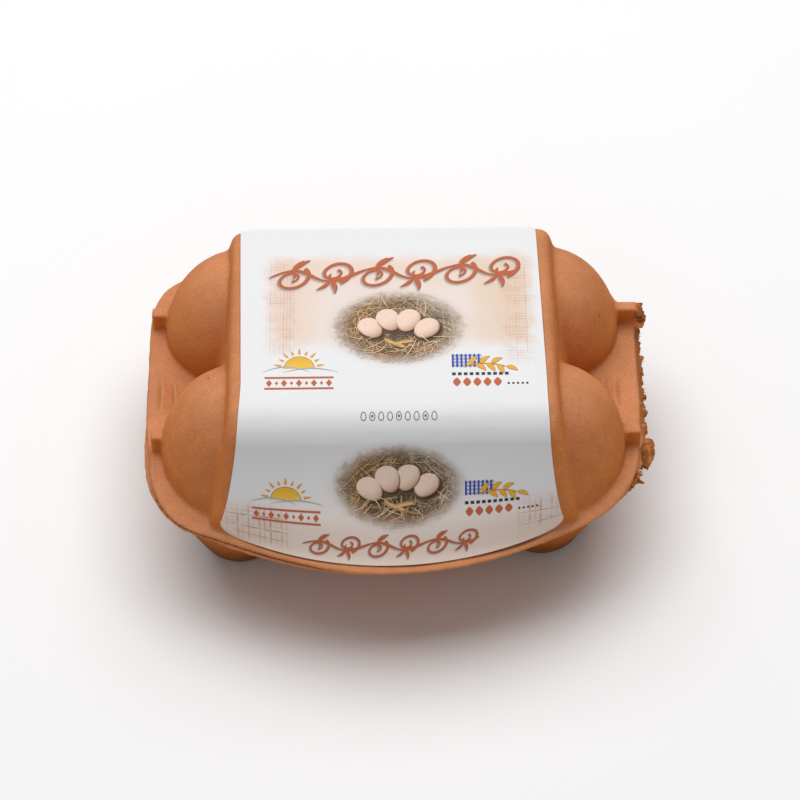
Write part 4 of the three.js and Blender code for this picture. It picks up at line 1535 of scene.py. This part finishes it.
def seam_crumbs(draw):
    """Small crumbs in the seam at the front left, where the two flanges don't quite meet."""
    edge = flange_outline(LID_EDGE, LID_SEED)
    seam = edge[(edge[:, 0] < -50 * MM) & (edge[:, 1] < -38 * MM)]
    crumbs = []
    for _ in range(SEAM_CRUMBS):
        x, y = seam[draw.randrange(len(seam))]
        shift = draw.uniform(-0.3, 0.15) * MM
        place = (x - shift, y - shift, SEAM_Z - draw.uniform(0.0, 0.4) * MM)
        size = draw.uniform(0.2, 0.36) * MM
        stretch = (size * draw.uniform(0.8, 2.0), size * draw.uniform(0.6, 1.2), size * 0.7)
        crumbs.append(make_lump("Crumb", place, stretch, draw.uniform(0, 99), 0.7, 2))
    return crumbs


def fibres_along(draw, top):
    """Short curved fibres with three sides that stand out of the tear."""
    points, faces = [], []
    for _ in range(FIBRES):
        y = draw.uniform(TRAY_EDGE["side_right"] + 1, TEAR_END_Y - 2)
        root = Vector((tear_x(y, -0.5), y * MM, top - draw.uniform(1.0, 3.0) * MM))
        heading = Vector((1, draw.gauss(0, 0.8), draw.gauss(-0.1, 0.4))).normalized()
        reach = draw.uniform(0.5, 1.5) * MM
        thick = draw.uniform(0.08, 0.16) * MM
        sag = Vector((draw.gauss(0, 0.3), draw.gauss(0, 0.5), draw.gauss(-0.1, 0.3)))
        side = heading.cross(Vector((0, 0, 1))).normalized()
        rise = side.cross(heading)
        first = len(points)
        for k in range(5):
            share = k / 4
            middle = root + heading * reach * share + sag * reach * share * share * 0.6
            radius = thick * (1 - 0.85 * share)
            for angle in (0, 2 * math.pi / 3, 4 * math.pi / 3):
                out = side * radius * math.cos(angle) + rise * radius * math.sin(angle)
                points.append(middle + out)
        for k in range(4):
            for corner in range(3):
                a, b = first + k * 3 + corner, first + k * 3 + (corner + 1) % 3
                faces.append((a, b, b + 3, a + 3))
        faces.append((first + 2, first + 1, first))
        faces.append((first + 12, first + 13, first + 14))
    return edit(linked("Fibres", points, faces=faces), FACE_OUTWARDS)


class MakeLabel(bpy.types.Operator):
    """Makes the paper label that lies over the block"""

    bl_idname = "egg_box.make_label"
    bl_label = "Make label"

    def execute(self, context):
        sizes, colours = context.scene.egg_box_sizes, context.scene.egg_box_print
        skin = Skin(sizes)
        label = grid_piece("Label", *LABEL_GRID)
        grid = places(label)
        travel = LABEL_START + (0.5 - grid[:, 1]) * (LABEL_END - LABEL_START)
        middle, half = skin.label_reach(travel)
        across = middle + grid[:, 0] * 2 * half
        put(label, skin.label_face(across, travel))
        sheet = np.column_stack([across, travel, np.zeros(len(travel))])
        marked(label, "sheet", "FLOAT_VECTOR", "vector", sheet)
        apply(label, "SOLIDIFY", thickness=sizes.paper, offset=-1)
        hand_over(label, paper_material(colours), "label_paper", "label", smooth_angle=PAPER_CREASE)
        return {"FINISHED"}


class PrintNests(bpy.types.Operator):
    """Prints a straw nest with four eggs and two ears of wheat on the label's top and front"""

    bl_idname = "egg_box.print_nests"
    bl_label = "Print nests"

    def execute(self, context):
        sizes, colours = context.scene.egg_box_sizes, context.scene.egg_box_print
        skin, ink = Skin(sizes), ink_material()
        prints = zip(("PrintedNestTop", "PrintedNestFront"), NESTS, NEST_EGGS, (5, 6))
        for name, nest, eggs, seed in prints:
            press, draw = Press(skin), random.Random(seed)
            ground = blended(colours.paper, NEST_RIM, 0.5)
            mx, my = nest["middle"]
            print_straw(press, draw, nest, ground, nest["straws"])
            print_eggs(press, nest, colours, eggs)
            print_straw(press, draw, nest, ground, 16, pale=True)
            for hand in (-1, 1):
                root = (mx - hand * 8.5 * MM, my + 9.6 * MM)
                heading = -0.50 if hand > 0 else math.pi + 0.15
                print_wheat(press, root, heading, 12 * MM, WHEAT)
            hand_over(press.piece(name), ink, "label_paper", "label", smooth_angle=PAPER_CREASE)
        return {"FINISHED"}


class PrintOrnaments(bpy.types.Operator):
    """Prints the vines, the rising suns, the patches and the small row of eggs"""

    bl_idname = "egg_box.print_ornaments"
    bl_label = "Print ornaments"

    def execute(self, context):
        sizes, colours = context.scene.egg_box_sizes, context.scene.egg_box_print
        press = Press(Skin(sizes))
        field = blended(colours.paper, colours.peach, 0.5)
        for start, end, swing, scale in VINES:
            start, end = np.array(start) * MM, np.array(end) * MM
            print_vine(press, start, end, swing * MM, 3, scale, colours.terracotta, field)
        for middle in SUNS:
            print_rising_sun(press, np.array(middle) * MM, 1.0, colours)
        for corner, scale in PATCHES:
            print_check_patch(press, np.array(corner) * MM, scale, colours)
        print_egg_row(press, np.array(EGG_ROW) * MM)
        printed = press.piece("PrintedOrnaments")
        hand_over(printed, ink_material(), "label_paper", "label", smooth_angle=PAPER_CREASE)
        return {"FINISHED"}


class MakeStage(bpy.types.Operator):
    """Makes the floor, the lights and the camera"""

    bl_idname = "egg_box.make_stage"
    bl_label = "Make stage"

    def execute(self, context):
        stage = context.scene.egg_box_stage
        floor = grown("Floor", bpy.ops.mesh.primitive_plane_add, size=8)
        floor.location.z = TRAY_LOW.z - 0.02 * MM
        bpy.ops.object.transform_apply(location=True)
        floor.data.materials.append(floor_material(stage))
        add_light("Top light", (-0.05, 0.38, 1.2), (1.6, 1.1), stage.top_power)
        add_light("Front light", (-0.3, -1.0, 0.9), (0.9, 0.7), stage.front_power)
        world = bpy.data.worlds.new("Even light")
        world.use_nodes = True
        background = world.node_tree.nodes["Background"]
        background.inputs["Color"].default_value = (1, 1, 1, 1)
        background.inputs["Strength"].default_value = stage.sky
        context.scene.world = world
        context.scene.view_settings.view_transform = "Standard"
        context.scene.view_settings.look = "None"
        add_camera(stage)
        return {"FINISHED"}


def add_light(name, place, size, power):
    bpy.ops.object.select_all(action="DESELECT")
    bpy.ops.object.light_add(type="AREA", location=place)
    light = bpy.context.object
    light.name = name
    light.data.shape = "RECTANGLE"
    light.data.size, light.data.size_y = size
    light.data.energy = power
    light.rotation_euler = Vector(place).to_track_quat("Z", "Y").to_euler()


def add_camera(stage):
    """The camera looks down at the box's front from a little over a metre away."""
    turn, lift = stage.azimuth, stage.elevation
    ahead = Vector((math.sin(turn) * math.cos(lift), math.cos(turn) * math.cos(lift), -math.sin(lift)))
    flat = ahead.cross(Vector((0, 0, 1))).normalized()
    rise = flat.cross(ahead)
    right = flat * math.cos(stage.roll) + rise * math.sin(stage.roll)
    up = right.cross(ahead)
    place = HOME + Vector(stage.look_at) - ahead * stage.distance
    bpy.ops.object.select_all(action="DESELECT")
    bpy.ops.object.camera_add(location=place)
    camera = bpy.context.object
    camera.name = "Camera"
    camera.matrix_world = Matrix.Translation(place) @ Matrix((right, up, -ahead)).transposed().to_4x4()
    camera.data.lens = stage.lens
    camera.data.sensor_width = 36
    camera.data.clip_start, camera.data.clip_end = 0.01, 20
    bpy.context.scene.camera = camera


class EggBoxPanel(bpy.types.Panel):
    """Sizes, colours and steps of the egg box"""

    bl_idname = "EGG_BOX_PT_steps"
    bl_label = "Egg box"
    bl_space_type = "VIEW_3D"
    bl_region_type = "UI"
    bl_category = "Egg box"

    def draw(self, context):
        for group in GROUPS:
            box = self.layout.box()
            settings = getattr(context.scene, group)
            for name in settings.__annotations__:
                box.prop(settings, name)
        for step in STEPS:
            self.layout.operator(step.bl_idname)


GROUPS = {
    "egg_box_sizes": EggBoxSizes,
    "egg_box_pulp": EggBoxPulp,
    "egg_box_print": EggBoxPrint,
    "egg_box_stage": EggBoxStage,
}
STEPS = (MakeTray, MakeLid, MakeTornFringe, MakeLabel, PrintNests, PrintOrnaments, MakeStage)


def register():
    for kind in (*GROUPS.values(), *STEPS, EggBoxPanel):
        bpy.utils.register_class(kind)
    for name, kind in GROUPS.items():
        setattr(bpy.types.Scene, name, bpy.props.PointerProperty(type=kind))


def unregister():
    for name in GROUPS:
        delattr(bpy.types.Scene, name)
    for kind in reversed((*GROUPS.values(), *STEPS, EggBoxPanel)):
        bpy.utils.unregister_class(kind)


def main():
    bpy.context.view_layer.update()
    register()
    for step in STEPS:
        group, name = step.bl_idname.split(".")
        getattr(getattr(bpy.ops, group), name)()


if __name__ == "__main__":
    main()
